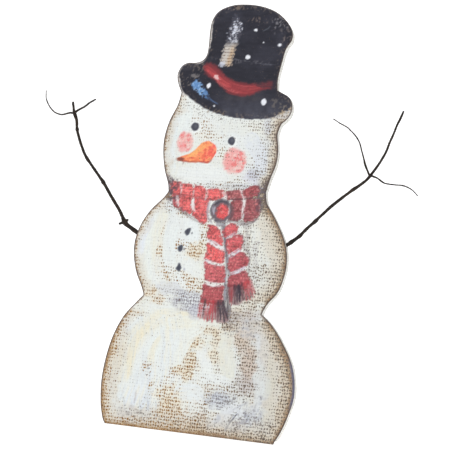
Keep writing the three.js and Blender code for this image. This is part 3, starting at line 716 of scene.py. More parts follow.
def paint_nose(c):
    """A carrot, red at its root, yellow along its top and brown at its tip."""
    c.patch(NOSE, (250, 150, 106), soft=0.5, seed=330, cover=1.0)
    idx, d = c.inside(NOSE, reach=1, wobble=0.4, seed=331)
    x, y = c.u[idx], c.v[idx]
    a = ramp(d, -0.4, 0.5)
    root = ramp(x - 0.55 * (y - 262) + 0.8 * noise(x / 2, y / 2, 332), -19.5, -13.5)
    c.lay(idx, a * root, (250, 126, 112))
    c.lay(idx, a * ramp(256.5 - y + 0.12 * (x + 25), -2.5, 2.5) * 0.5, (236, 118, 84))
    mottle = noise(x / 2.0, y / 1.6, 3331)
    c.lay(idx, a * ramp(mottle, 0.0, 0.6) * 0.65, (252, 184, 124))
    c.lay(idx, a * ramp(-mottle, 0.1, 0.7) * 0.6, (226, 96, 76))
    c.lay(idx, a * ramp(noise(x / 1.1, y / 1.1, 3332), 0.3, 0.7) * 0.5, (238, 92, 82))
    c.strokes(333, "bristle", [
        ((252, 184, 116), 0.9, 0.6, [(-36, 256.8, 1.4), (-30, 259.4, 2.0), (-25, 264, 2.4),
         (-20, 269.6, 2.0)], dict(hair=0.7)),
        ((253, 176, 110), 0.75, 0.6, [(-22, 262.5, 1.0), (-18.5, 268, 1.3), (-15, 271.3, 0.9)]),
        ((240, 98, 84), 0.6, 0.5, [(-18, 256, 1.4), (-13, 260, 1.8), (-10, 265, 1.4)]),
        ((112, 66, 62), 0.9, 0.5, [(-45.5, 254.3, 1.0), (-42, 254.2, 1.9), (-38.5, 254.2, 1.2)]),
        ((150, 78, 70), 0.75, 0.5, [(-44, 252.9, 0.6), (-34, 251.9, 0.8), (-22, 252.4, 0.8),
         (-14, 252.2, 0.9), (-10, 256, 0.6)]),
        ((130, 90, 84), 0.8, 0.5, [(-38.6, 252, 0.5), (-38.4, 249.8, 0.4)], dict(ragged=1)),
    ])


# u, v, lean of its top, half height
BUTTONS = [(-25.1, 185.3, 1.4, 3.6), (-30.2, 169, 0.8, 3.6), (-29.2, 150.8, -0.7, 4.1)]


def paint_buttons(c):
    """Three lumps of coal, each with a fleck of paint beside it."""
    for k, (u, v, lean, tall) in enumerate(BUTTONS):
        lump = [(-2.9, -0.8), (-1.6, 2.0), (0.2 + lean, tall), (2.5 + lean * 0.4, 1.9), (2.1, -1.4),
                (0.6 - lean * 0.3, -tall), (-2.1, -2.3)]
        core = [(-1.4, 0), (0, 2), (1, 0), (-0.4, -2)]
        lump, core = ([(u + du, v + dv) for du, dv in shape] for shape in (lump, core))
        c.patch(lump, (82, 85, 97), soft=0.5, size=1.6, seed=340 + k, cover=1.1)
        c.patch(core, (62, 64, 76), alpha=0.7, soft=0.9, seed=344 + k)
    c.oval(-20.9, 184.2, 0.7, 1.0, (112, 116, 126), soft=0.4, seed=348)
    c.oval(-26.2, 168.6, 0.8, 1.3, (120, 118, 122), soft=0.5, seed=349)
    c.oval(-23.8, 149.8, 1.0, 1.4, (176, 178, 190), soft=0.6, seed=350, alpha=0.8)


# ---- the scarf ----
PINK_RED = (240, 112, 112)
# colour and outline of each knitted block
WRAP_WOOL = [
    ((224, 104, 104), [(-48, 231.5), (-41, 232), (-37.5, 231), (-36.5, 225), (-37, 219), (-42, 219.6),
     (-46.5, 221)]),
    (PINK_RED, [(-37.5, 231), (-26.5, 229.5), (-25, 224), (-25, 219), (-31, 219.8), (-36.5, 220.2)]),
    (PINK_RED, [(-24, 229.5), (-12.5, 227.4), (-11.5, 222), (-12.5, 217), (-19, 217.6), (-23.5, 218.8)]),
    (PINK_RED, [(-11, 227.2), (5.5, 226), (6, 221), (3, 218), (-3, 217.2), (-9.6, 217)]),
    ((170, 98, 102), [(8, 226), (22, 227.5), (24.5, 222.5), (25, 218.5), (15, 219), (9, 219)]),
    ((187, 96, 101), [(23.5, 227.6), (37.5, 233.5), (40, 228), (38, 223.5), (31, 221.5), (26.5, 222)]),
    ((205, 98, 101), [(-45, 219.6), (-39.5, 219), (-38.5, 212), (-37, 206), (-41.5, 208.6), (-44, 213)]),
    (PINK_RED, [(-38, 219.6), (-25.5, 219.3), (-25.5, 212), (-24, 203), (-29.5, 203.5), (-35.5, 207),
     (-37.5, 213)]),
    ((235, 110, 111), [(-22, 219), (-13, 217.5), (-8.5, 215), (-8, 207), (-7, 197.5), (-11, 194.2),
     (-17, 197), (-22.5, 201.8), (-22, 211)]),
    ((173, 94, 99), [(15, 217.5), (24.5, 218), (25.6, 210), (25, 200), (19, 199), (14.5, 200.5)]),
    ((161, 90, 95), [(27.5, 218.5), (35, 221), (41, 220), (42.5, 212), (41.5, 205), (35.5, 199.6),
     (28.5, 199.2), (27.5, 208)]),
]
LEFT_WOOL = [
    ((227, 104, 107), [(-5, 193), (0, 193.4), (5.5, 189.5), (8.5, 184), (10.5, 176), (6, 174.6), (0, 177.6),
     (-5, 180.4), (-5.4, 187)]),
    ((243, 108, 109), [(-4.4, 176.4), (2.5, 173.6), (8, 170.6), (12.5, 170), (14, 164), (12.6, 158.6),
     (5.5, 158), (-1, 159.6), (-5, 161), (-4, 168)]),
    ((205, 104, 109), [(-4.8, 158.6), (1, 156.6), (8, 155.6), (14.8, 155.8), (16.6, 148), (15.6, 140.4),
     (7, 138.6), (0, 140.4), (-3, 141), (-3.6, 150)]),
    ((185, 92, 97), [(-3.2, 137.6), (5, 136.4), (16.4, 137), (17, 128), (17.8, 120.5), (8, 119.5),
     (-3.6, 120), (-3.4, 129)], 0.25),
]
RIGHT_WOOL = [
    ((217, 102, 107), [(9, 186), (10.5, 191.5), (16, 196.2), (21.5, 196), (24, 190.4), (22, 186.8),
     (17, 184.6), (12.6, 182.6)]),
    ((211, 100, 105), [(13.6, 180), (19, 183), (26, 186.2), (29.6, 183.6), (30, 176), (27.6, 171.4),
     (21, 167.6), (16.6, 168)]),
    ((191, 94, 101), [(17.6, 163.6), (23, 166.4), (29, 169.6), (35, 167.6), (38, 163.4), (35.6, 157),
     (29, 153), (20.4, 151)]),
    ((173, 86, 93), [(21, 147.6), (28, 150.4), (35.6, 153.6), (38.6, 147), (39.6, 139), (34, 135.6),
     (27, 136.6), (20.6, 138.4)]),
]
# (u, v, half width) along each white stripe
WRAP_STRIPES = [
    [(-38, 231.5, 0.9), (-36.2, 226, 1.1), (-36.6, 221, 0.9)],
    [(-25.5, 229.5, 0.9), (-24.2, 224, 1.0), (-24.5, 219.6, 0.8)],
    [(-12.2, 227.5, 1.0), (-10.6, 222, 1.1), (-11.4, 217.8, 0.8)],
    [(4.5, 225.6, 0.9), (7.2, 222, 1.5), (8.4, 218.6, 0.9)],
    [(21.4, 228.4, 1.1), (23.8, 224, 1.3), (26, 219.6, 1.3)],
    [(-40.4, 218.8, 0.8), (-38.8, 213, 1.2), (-37.6, 208.6, 0.8)],
    [(-24, 217.2, 1.2), (-23.6, 211, 1.6), (-20.6, 204.5, 1.0)],
    [(-8.2, 215, 0.6), (-8, 209, 0.6), (-6.6, 202, 0.8)],
    [(26.4, 218.6, 1.2), (26.2, 212, 1.2), (25.6, 203, 0.8)],
]
LEFT_STRIPES = [
    [(-3.6, 178.6, 1.3), (2, 176.2, 1.6), (8, 172.6, 1.6), (12.6, 170.6, 1.2)],
    [(-4.8, 160.4, 1.2), (2, 158, 1.4), (8, 156.6, 1.3), (13, 157.4, 1.2)],
    [(-2.6, 140, 1.4), (4, 138, 1.7), (10, 138, 1.6), (15.4, 138.8, 1.3)],
]
RIGHT_STRIPES = [
    [(13, 181.2, 1.1), (17, 183.6, 1.5), (22, 187.6, 1.3)],
    [(17.6, 164.6, 1.5), (22.4, 168, 1.9), (28, 172.4, 1.5)],
    [(21.4, 148.8, 1.2), (28, 151.6, 1.6), (35.2, 156.4, 1.3)],
]
# u of the root, u and v of the tip, colour
LEFT_FRINGE = [
    (-3.2, -4.4, 106, (176, 70, 76)), (-1.2, -2.4, 104.5, (196, 76, 80)), (1.0, 0.4, 108, (92, 60, 68)),
    (3.0, 2.0, 104, (204, 84, 88)), (4.6, 4.6, 103, (172, 66, 72)), (6.6, 6.8, 106, (196, 72, 78)),
    (8.6, 9.6, 102.5, (178, 62, 70)), (10.6, 12.0, 105, (140, 60, 68)), (12.6, 15.2, 104, (88, 58, 66)),
    (14.4, 18.0, 105, (60, 52, 62)), (16.4, 21.4, 104.5, (52, 48, 58)), (17.6, 24.2, 107, (64, 56, 66)),
]
# u and v of the root, u and v of the tip, colour
RIGHT_FRINGE = [
    (22.6, 139, 24.4, 121, (146, 62, 68)), (25.0, 139, 26.4, 119.5, (158, 66, 72)),
    (27.0, 139, 29.0, 121.5, (84, 56, 66)), (29.0, 140, 31.6, 122.5, (66, 54, 64)),
    (31.0, 140, 34.0, 124, (58, 50, 62)), (33.0, 141, 37.0, 124.5, (96, 60, 68)),
    (35.0, 142, 40.2, 125.5, (176, 72, 78)), (36.8, 143, 43.6, 126.4, (196, 80, 84)),
    (38.2, 145, 46.4, 128.6, (186, 74, 80)), (39.0, 148, 47.4, 132.5, (166, 70, 76)),
]
# colour, strength, bristle, path
SCARF_SHADOWS = [
    ((120, 112, 122), 0.8, 0.9, [(-52, 238, 2.2), (-47, 228, 3.8), (-45, 220, 3.8), (-42, 212, 2.2)]),
    ((84, 76, 88), 0.8, 0.9, [(-48, 235, 1.6), (-47, 227, 2.4), (-48, 219, 1.6)]),
    ((92, 84, 92), 0.9, 0.8, [(48, 236, 3.2), (43, 228, 4.6), (40, 220, 4.6), (41, 210, 3.0)]),
    ((76, 66, 74), 0.8, 0.8, [(34, 219, 2.2), (41, 223, 3.0), (47, 230, 3.0), (49, 240, 2.0)]),
    ((104, 98, 104), 0.55, 0.5, [(44, 214, 3), (47, 226, 3.5), (50, 238, 3)]),
    ((132, 116, 116), 0.7, 0.9, [(-42, 209, 1.2), (-33, 203.5, 1.4), (-22, 197.5, 1.5), (-10, 193, 1.4)]),
    ((104, 92, 96), 0.75, 0.8, [(16, 197, 1.8), (26, 196.5, 1.8), (36, 199, 1.8), (42, 206, 1.6)]),
]
TAIL_GAP = [
    ((134, 130, 140), 0.9, 0.7, [(8, 197, 2.6), (11, 188, 2.8), (14, 176, 2.6), (17.5, 162, 2.8),
     (19, 148, 3.2), (20, 136, 3.0)]),
    ((84, 76, 84), 0.9, 0.7, [(19, 140, 2.2), (20.5, 128, 3.2), (22, 116, 4.2), (24, 107, 3.2)]),
    ((96, 90, 100), 0.8, 0.6, [(9, 194, 0.9), (13, 178, 1.0), (16, 164, 0.9), (17.6, 152, 0.8)]),
    ((184, 186, 200), 0.6, 0.7, [(17.2, 148, 0.8), (18.6, 136, 1.0), (19, 124, 0.8)]),
]


def paint_wool(c, outline, colour, seed, lines=0.35):
    """A knitted block: ragged edge, mottled reds, pale nicks and darker wool along its edge."""
    idx, d = c.inside(outline, reach=3, wobble=1.1, size=1.7, seed=seed)
    x, y = c.u[idx], c.v[idx]
    a = ramp(d, -0.7, 0.7)
    c.lay(idx, a, colour, cover=0.96, dry=0.0)
    c.soot[idx] += (0.30 - c.soot[idx]) * a
    mottle = cloud(x, y, 3.2, seed + 1)
    bright = [min(255, 1.08 * k + 16) for k in colour]
    deep = [0.66 * k for k in colour]
    c.lay(idx, a * ramp(mottle, 0.05, 0.7) * 0.75, bright)
    c.lay(idx, a * ramp(-mottle, 0.1, 0.7) * 0.75, deep)
    rows = ramp(np.sin(2 * np.pi * y / WEAVE_UP) + 0.7 * noise(x / 2.4, y / 1.5, seed + 2), 0.5, 1.3)
    c.lay(idx, a * rows * lines, deep)
    nicks = ramp(noise(x / 1.2, y / 1.2, seed + 3), 0.3, 0.8)
    c.lay(idx, a * nicks * 0.55, (246, 160, 156))
    c.lay(idx, a * nicks * ramp(2.4 - d, 0, 1.6) * 0.6, (234, 216, 218))
    c.lay(idx, a * ramp(noise(x / 1.3, y / 1.3, seed + 4), 0.35, 0.8) * 0.6, (112, 54, 60))
    c.lay(idx, a * ramp(1.8 - d, 0, 1.8) * 0.45, (120, 62, 66))


def paint_blocks(c, seed, blocks):
    """Knitted blocks seeded one after another."""
    for k, (colour, outline, *lines) in enumerate(blocks):
        paint_wool(c, outline, colour, seed + 4 * k, *lines)


def paint_stripes(c, seed, colour, lines):
    """Ragged stripes of one colour, a little wider than drawn."""
    rows = [(colour, 0.95, 0.9, [(u, v, 1.18 * w) for u, v, w in line]) for line in lines]
    c.strokes(seed, "bristle", rows, hair=0.7, ragged=0.8, cover=0.97)


def paint_wrap(c):
    """Both turns round the neck, with the fold between them, soot at the ends and white stripes."""
    c.strokes(401, "bristle", SCARF_SHADOWS)
    paint_blocks(c, 411, WRAP_WOOL)
    c.strokes(455, "bristle", [
        ((128, 64, 70), 0.75, 0.8, [(-46, 220.4, 0.6), (-36, 220.6, 0.7), (-24, 218.9, 0.7),
         (-12, 217.2, 0.7), (-4, 216.8, 0.6)]),
        ((96, 60, 68), 0.8, 0.8, [(12, 218.4, 0.6), (24, 219.6, 0.8), (36, 222.4, 0.8)]),
    ])
    dark = cloud(c.u, c.v, 2.6, 600)
    sag = 0.0065 * (c.u - 2) ** 2
    ends = ramp(np.abs(c.u - 0.5), 30, 46) * ramp(c.v - 198 - sag, -2, 2) * ramp(c.v, 238, 232)
    hem = ramp(5.0 - np.abs(c.v - 199 - sag), 0, 5) * ramp(41 - np.abs(c.u), 0, 5)
    c.lay(c.all, ramp(dark, -0.05, 0.4) * np.maximum(ends, 0.6 * hem) * 0.85, (86, 74, 84))
    c.lay(c.all, ramp(-dark, 0.3, 0.7) * ends * 0.5, (214, 206, 212))
    paint_stripes(c, 460, (236, 222, 222), WRAP_STRIPES)


def paint_left_tail(c):
    """Four blocks, dark threads down the last, and a fringe of fanned strands with pale nicks."""
    paint_blocks(c, 481, LEFT_WOOL)
    c.strokes(500, "bristle", [
        ((132, 58, 64), 0.55, 0.8, [(u, 136, 0.5), (u + 0.5, 128, 0.6), (u + 0.2, 120, 0.5)])
        for u in (2.2 * k - 2 for k in range(9))])
    hem = [(-4, 123), (6, 122), (18, 123), (22, 114), (25, 104), (18, 103), (10, 105.5), (4, 104),
           (-3, 107), (-5, 114)]
    c.patch(hem, (120, 74, 80), alpha=0.55, soft=1.2, wobble=1.6, seed=510, cover=0.85)
    c.strokes(512, "bristle", [
        (colour, 0.95, 0.6, [(root, 123, 1.2), ((root + tip) / 2, 115, 1.3), (tip, low, 0.5)])
        for root, tip, low, colour in LEFT_FRINGE], soft=0.4, ragged=1.2, cover=0.97)
    c.strokes(526, "ragged", [
        ((216, 200, 200), 0.8, 0.8, [(u, v + 3.4, 0.5), (u + 0.3, v - 2.6, 0.6)])
        for u, v in ((1, 110), (3.4, 113), (-1.5, 109), (11, 108.5))])
    paint_stripes(c, 532, (228, 222, 228), LEFT_STRIPES)


def paint_right_tail(c):
    """Four blocks, a fringe swept to the right, and a shadow along the tail's right side."""
    paint_blocks(c, 540, RIGHT_WOOL)
    hem = [(22, 139), (30, 138), (39, 140), (46, 131), (43, 127), (36, 124), (29, 121), (24, 123),
           (21.6, 130)]
    c.patch(hem, (108, 68, 76), alpha=0.6, soft=1.2, wobble=1.6, seed=556, cover=0.85)
    c.strokes(560, "bristle", [
        (colour, 0.95, 0.6,
         [(root, top, 1.3), ((root + tip) / 2, (top + low) / 2 + 1, 1.4), (tip, low, 0.5)])
        for root, top, tip, low, colour in RIGHT_FRINGE], soft=0.4, ragged=1.2, cover=0.97)
    c.strokes(572, "ragged", [
        ((206, 170, 172), 0.7, 0.8, [(u, v + 3, 0.4), (u + 1.6, v - 2.6, 0.5)])
        for u, v in ((34, 135), (37.6, 131), (40.4, 134))])
    paint_stripes(c, 576, (214, 212, 224), RIGHT_STRIPES)
    side = [(24.4, 189, 0.8), (27.6, 186, 0.9), (31, 182, 0.8), (31.4, 174, 0.8), (37.6, 169, 0.9),
            (38.4, 160, 0.9), (38.8, 150, 0.8)]
    c.stroke(side, (126, 118, 124), alpha=0.7, seed=580, bristle=0.8)


def paint_knot(c):
    """A dark ring of shadow with a red block in it."""
    c.strokes(584, "bristle", [
        ((172, 168, 178), 0.85, 0.7, [(-7.6, 214.5, 1.4), (-8.6, 206, 1.3), (-6.4, 199.4, 1.2),
         (-2, 195, 1.2)]),
    ])
    ring = [(-5, 207), (-3.4, 213.4), (1.4, 217.6), (7.4, 218), (12.6, 215), (15.4, 209), (14.4, 202.6),
            (10.6, 198.4), (5, 197), (-0.6, 198.6), (-4, 202)]
    c.patch(ring, (110, 98, 106), soft=0.8, wobble=1.0, size=2, seed=585, cover=0.98)
    c.strokes(586, "bristle", [
        ((72, 68, 78), 0.9, 0.6, [(-4.4, 205, 1.4), (-3.4, 211.6, 1.7), (0.8, 216, 1.9), (6.6, 217, 1.9),
         (11.4, 215, 1.7)]),
        ((106, 80, 86), 0.8, 0.5, [(14, 214, 1.6), (16, 208, 1.8), (15.4, 201, 1.5), (12.6, 197, 1.2)]),
        ((86, 80, 90), 0.85, 0.6, [(0, 197.4, 1.3), (6, 196, 1.5), (12, 197.6, 1.3)]),
    ])
    paint_blocks(c, 590, [
        ((231, 94, 97), [(0.6, 206), (1.6, 211), (5.6, 214.2), (10, 212.8), (12, 208), (11.6, 202.6),
         (8, 199.4), (4, 199.8), (1.2, 202.4)], 0.2),
    ])
    c.strokes(594, "bristle", [
        ((204, 200, 214), 0.9, 0.6, [(-2.2, 210.6, 1.3), (-2.2, 207, 1.5), (-1.4, 203.6, 1.0)]),
        ((226, 206, 210), 0.9, 0.6, [(12.4, 212.4, 0.5), (13.2, 208, 0.9), (12.2, 203.4, 0.5)]),
        ((134, 128, 140), 0.85, 0.5, [(1, 195.6, 1.0), (5, 193.6, 1.2), (8.4, 194.6, 1.0)]),
    ])


def paint_scarf(c):
    paint_wrap(c)
    c.strokes(475, "bristle", TAIL_GAP)
    paint_left_tail(c)
    paint_right_tail(c)
    paint_knot(c)


def paint_figure(c, rim):
    """Everything on the print, from the ground up. rim is each point's distance from the edge."""
    paint_ground(c)
    c.wear(11, WORN_PLACES)
    c.strokes(61, "cover", BODY_STROKES)
    c.strokes(751, "soft", SOFT_STROKES)
    c.strokes(92, "cover", FACE_STROKES)
    paint_streaks(c)
    paint_shadows(c)
    paint_soot(c)
    paint_worn_rims(c, rim)
    paint_hat(c, rim)
    paint_band(c)
    paint_highlight(c)
    paint_blue_light(c)
    paint_hat_marks(c)
    paint_cheeks(c)
    paint_eyes(c)
    paint_nose(c)
    paint_buttons(c)
    paint_scarf(c)
    paint_edge(c, rim)


# ---- outline and slabs ----
FOOT = -1.0             # the outline's foot is moved down to here, and cut_grid trims it at the floor


def front_loop(node):
    """The front outline of a CAD plate in board millimetres, as one closed loop of (u, v)."""
    data = frame["nodes"][node].data
    to_board = BOARD.inverted()
    spots = [to_board @ vertex.co for vertex in data.vertices]
    front = min(spot.y for spot in spots)
    key = [(round(s.x, 2), round(s.z, 2)) for s in spots]
    count = {}
    for face in data.polygons:
        if all(spots[i].y < front + 0.05 for i in face.vertices):
            names = [key[i] for i in face.vertices]
            for edge in zip(names, names[1:] + names[:1]):
                count[edge] = count.get(edge, 0) + 1
    following = {a: b for a, b in count if (b, a) not in count}
    start = next(iter(following))
    loop = [start]
    while following[loop[-1]] != start:
        loop.append(following[loop[-1]])
    return [(u, FOOT) if v < 1 else (u, v) for u, v in loop]


def lay_grid(loop, step, inset, floor):
    """Grid points (u, v) round the loop and how deep inside it each is. Points close to its edge are
    moved on to it."""
    corners = np.array(loop)
    low, high = corners.min(0) - 2 * step, corners.max(0) + 2 * step
    u, v = np.meshgrid(np.arange(low[0], high[0], step), np.arange(low[1], high[1], step))
    d = np.minimum(signed_distance(loop, u, v) - inset, v - floor)
    slope_v, slope_u = np.gradient(d, step)
    close = np.abs(d) < 0.3 * step
    u = u - close * d * slope_u
    v = v - close * d * slope_v
    return u, v, np.where(close, 0.0, d)


def cut_grid(loop, step, inset, floor):
    """A fine grid of quads inside the loop; the cells on its edge are cut to it.

    Returns (u, v) points and faces as lists of their numbers."""
    u, v, d = lay_grid(loop, step, inset, floor)
    points, index = [], {}

    def corner(cell):
        if cell not in index:
            index[cell] = len(points)
            points.append((u[cell], v[cell]))
        return index[cell]

    def crossing(a, b):
        name = (min(a, b), max(a, b))
        if name not in index:
            t = d[a] / (d[a] - d[b])
            index[name] = len(points)
            points.append((u[a] + t * (u[b] - u[a]), v[a] + t * (v[b] - v[a])))
        return index[name]

    faces = []
    touched = (d[:-1, :-1] > 0) | (d[:-1, 1:] > 0) | (d[1:, 1:] > 0) | (d[1:, :-1] > 0)
    for row, column in zip(*np.nonzero(touched)):
        row, column = int(row), int(column)
        ring = [(row, column), (row, column + 1), (row + 1, column + 1), (row + 1, column)]
        face = []
        for a, b in zip(ring, ring[1:] + ring[:1]):
            if d[a] >= 0:
                face.append(corner(a))
            if d[a] * d[b] < 0:
                face.append(crossing(a, b))
        if len(face) > 2:
            faces.append(face)
    return np.array(points), faces


def slab(name, loop, step, dense, plain, rounding, relief=None):
    """A plate between two depths with rounded edges: a fine grid at the depth `dense`, and one
    large face at the depth `plain`. relief(u, v, rim) lifts the fine side outwards."""
    way = 1 if plain > dense else -1
    points, faces = cut_grid(loop, step, rounding, dense * math.tan(LEAN))
    rim = signed_distance(loop, points[:, 0], points[:, 1])
    rise = relief(points[:, 0], points[:, 1], rim) if relief else np.zeros(len(points))
    bm = bmesh.new()
    fine = [bm.verts.new((u, dense - way * up, v)) for (u, v), up in zip(points, rise)]
    for face in faces:
        bm.faces.new([fine[i] for i in (face if way > 0 else face[::-1])])
    close_slab(bm, open_rim(bm), dense, plain, rounding)
    bmesh.ops.remove_doubles(bm, verts=bm.verts, dist=0.02)
    bmesh.ops.recalc_face_normals(bm, faces=bm.faces)
    return add_mesh(name, bm)


def open_rim(bm):
    """The vertices round the open edge of a grid, in order."""
    edges = [edge for edge in bm.edges if len(edge.link_faces) == 1]
    following = {}
    for edge in edges:
        for link in edge.link_loops:
            following[link.vert] = link.link_loop_next.vert
    start = edges[0].verts[0]
    ring = [start]
    while following[ring[-1]] is not start:
        ring.append(following[ring[-1]])
    return ring


def close_slab(bm, ring, dense, plain, rounding):
    """The slab's side walls, rounded at both ends and never below the floor, and its large face."""
    way = 1 if plain > dense else -1
    outward = rim_normals(ring, way)
    turns = [math.radians(a) for a in (30, 60, 90)]
    steps = [(rounding * math.sin(a), dense + way * rounding * (1 - math.cos(a))) for a in turns]
    steps.append((rounding, plain - way * rounding))
    steps += [(rounding * math.cos(a), plain - way * rounding * (1 - math.sin(a))) for a in turns[:2]]
    steps.append((0.0, plain))
    last = ring
    base = [vert.co.copy() for vert in ring]
    for out, depth in steps:
        new = []
        for spot, push in zip(base, outward):
            v = max(spot.z + push.z * out, depth * math.tan(LEAN))
            new.append(bm.verts.new((spot.x + push.x * out, depth, v)))
        for i, vert in enumerate(last):
            j = (i + 1) % len(last)
            bm.faces.new((last[j], vert, new[i], new[j]))
        last = new
    bm.faces.new(last)


def rim_normals(ring, way):
    """Outward directions across the plate at each point of its rim, smoothed along the rim."""
    spots = np.array([(vert.co.x, vert.co.z) for vert in ring])
    along = np.roll(spots, -2, 0) - np.roll(spots, 2, 0)
    out = np.c_[along[:, 1], -along[:, 0]] * way
    out /= np.maximum(np.linalg.norm(out, axis=1), 1e-9)[:, None]
    return [Vector((a, 0, b)) for a, b in out]


def add_piece(name, bm):
    """A new smooth-shaded object from a bmesh."""
    mesh = bpy.data.meshes.new(name)
    bm.to_mesh(mesh)
    bm.free()
    mesh.shade_smooth()
    piece = bpy.data.objects.new(name, mesh)
    bpy.context.scene.collection.objects.link(piece)
    return piece


def add_mesh(name, bm):
    """A new object in the CAD frame from a bmesh drawn in board millimetres."""
    bm.transform(BOARD)
    return add_piece(name, bm)


def board_spots(mesh):
    """Every vertex of a mesh in board millimetres, as an array of (u, depth, v)."""
    spots = np.empty(len(mesh.vertices) * 3)
    mesh.vertices.foreach_get("co", spots)
    to_board = np.array(BOARD.inverted())
    return spots.reshape(-1, 3) @ to_board[:3, :3].T + to_board[:3, 3]


def settle(piece):
    """Replaces a piece's mesh by what its modifiers make of it."""
    shape = piece.evaluated_get(bpy.context.evaluated_depsgraph_get())
    piece.data = bpy.data.meshes.new_from_object(shape)
    piece.modifiers.clear()


def store(mesh, name, values):
    layer = mesh.attributes.new(name, "FLOAT", "POINT")
    layer.data.foreach_set("value", np.asarray(values, np.float32))


# ---- material nodes ----
def linear(colour):
    """An sRGB colour, 0 to 255, as the linear values that shaders take."""
    c = np.asarray(colour, float) / 255
    return np.where(c <= 0.04045, c / 12.92, ((c + 0.055) / 1.055) ** 2.4)


def tint(*colour):
    return (*linear(colour), 1.0)


class Finish:
    """One procedural material. Its methods add nodes and return their output sockets."""

    def __init__(self, name, metallic=0.0, specular=0.35):
        self.material = bpy.data.materials.new(name)
        self.material.use_nodes = True
        self.nodes = self.material.node_tree.nodes
        self.links = self.material.node_tree.links
        self.shader = self.nodes["Principled BSDF"]
        self.shader.inputs["Metallic"].default_value = metallic
        self.shader.inputs["Specular IOR Level"].default_value = specular

    def put(self, socket, value):
        if isinstance(value, bpy.types.NodeSocket):
            self.links.new(value, socket)
        else:
            socket.default_value = value

    def node(self, kind, inputs, **settings):
        made = self.nodes.new(kind)
        for name, value in settings.items():
            setattr(made, name, value)
        for key, value in inputs.items():
            self.put(made.inputs[key], value)
        return made

    def set(self, name, value):
        self.put(self.shader.inputs[name], value)

    def math(self, operation, a, b=0.0, clamp=False):
        return self.node("ShaderNodeMath", {0: a, 1: b}, operation=operation, use_clamp=clamp).outputs[0]

    def plus(self, *values):
        total = values[0]
        for value in values[1:]:
            total = self.math("ADD", total, value)
        return total

    def minus(self, a, b):
        return self.math("SUBTRACT", a, b)

    def times(self, a, b):
        return self.math("MULTIPLY", a, b)

    def ramp(self, value, low, high):
        inputs = {"Value": value, "From Min": low, "From Max": high}
        return self.node("ShaderNodeMapRange", inputs, interpolation_type="SMOOTHSTEP").outputs[0]

    def mix(self, amount, a, b):
        made = self.nodes.new("ShaderNodeMix")
        made.data_type = "RGBA"
        self.put(made.inputs["Factor"], amount)
        self.put(made.inputs[6], a)
        self.put(made.inputs[7], b)
        return made.outputs[2]

    def place(self, scale=(1, 1, 1), rotation=0.0):
        """Position in millimetres from the object's own origin, stretched along an axis if asked."""
        own = self.node("ShaderNodeTexCoord", {}).outputs["Object"]
        size = tuple(k / MM for k in scale)
        turn = (rotation, 0, 0)
        level = self.node("ShaderNodeMapping", {"Vector": own, "Rotation": turn}).outputs[0]
        return self.node("ShaderNodeMapping", {"Vector": level, "Scale": size}).outputs[0]

    def noise(self, vector, size, detail=3.0, roughness=0.55):
        """Soft noise about 0.5, with features about `size` millimetres across."""
        inputs = {"Vector": vector, "Scale": 1 / size, "Detail": detail, "Roughness": roughness}
        return self.node("ShaderNodeTexNoise", inputs).outputs[0]

    def attribute(self, name):
        return self.node("ShaderNodeAttribute", {}, attribute_name=name)

    def amount(self, name):
        return self.attribute(name).outputs["Fac"]

    def bump(self, height, distance, strength):
        inputs = {"Height": height, "Distance": distance * MM, "Strength": strength}
        self.set("Normal", self.node("ShaderNodeBump", inputs).outputs[0])


def split(finish, vector):
    return finish.node("ShaderNodeSeparateXYZ", {0: vector}).outputs


def weave_height(f, u, v):
    """Burlap's thread height, 0 in the gaps between threads and 1 on the crowns."""
    def thread(position, pitch, drift):
        turn = f.times(f.plus(f.math("DIVIDE", position, pitch), drift), math.pi)
        return f.math("COSINE", turn)

    spot = f.node("ShaderNodeCombineXYZ", {0: u, 1: v}).outputs[0]
    sway = f.times(f.minus(f.noise(spot, 7, 2.0), 0.5), 2.6)
    sag = f.times(f.minus(f.noise(spot, 4.5, 2.0), 0.5), 1.7)
    across, up = thread(u, WEAVE_ACROSS, sway), thread(v, WEAVE_UP, sag)
    over = f.times(across, up)
    warp_lift = f.plus(f.times(over, 0.30), 0.70)
    weft_lift = f.plus(f.times(over, -0.26), 0.70)
    warp = f.times(f.math("POWER", f.math("ABSOLUTE", across), 1.3), warp_lift)
    weft = f.times(f.math("POWER", f.math("ABSOLUTE", up), 0.7), weft_lift)
    return f.math("MAXIMUM", warp, weft)


def burlap_colour(f, spot, u, height, cover):
    """Bare burlap: dark gaps, tan threads and paler crowns, greyer towards the right."""
    wear = f.ramp(cover, 0.75, 0.25)
    right = f.math("ADD", f.ramp(u, -20, 55), f.minus(f.noise(spot, 5.0, 2.0), 0.5), clamp=True)
    crown = f.mix(wear, tint(224, 216, 198), tint(206, 186, 154))
    gap = f.mix(right, tint(120, 84, 46), tint(98, 86, 76))
    thread = f.mix(right, tint(184, 146, 96), tint(146, 132, 114))
    thread = f.mix(f.ramp(height, 0.25, 0.6), gap, thread)
    return f.mix(f.ramp(height, 0.5, 0.85), thread, crown)


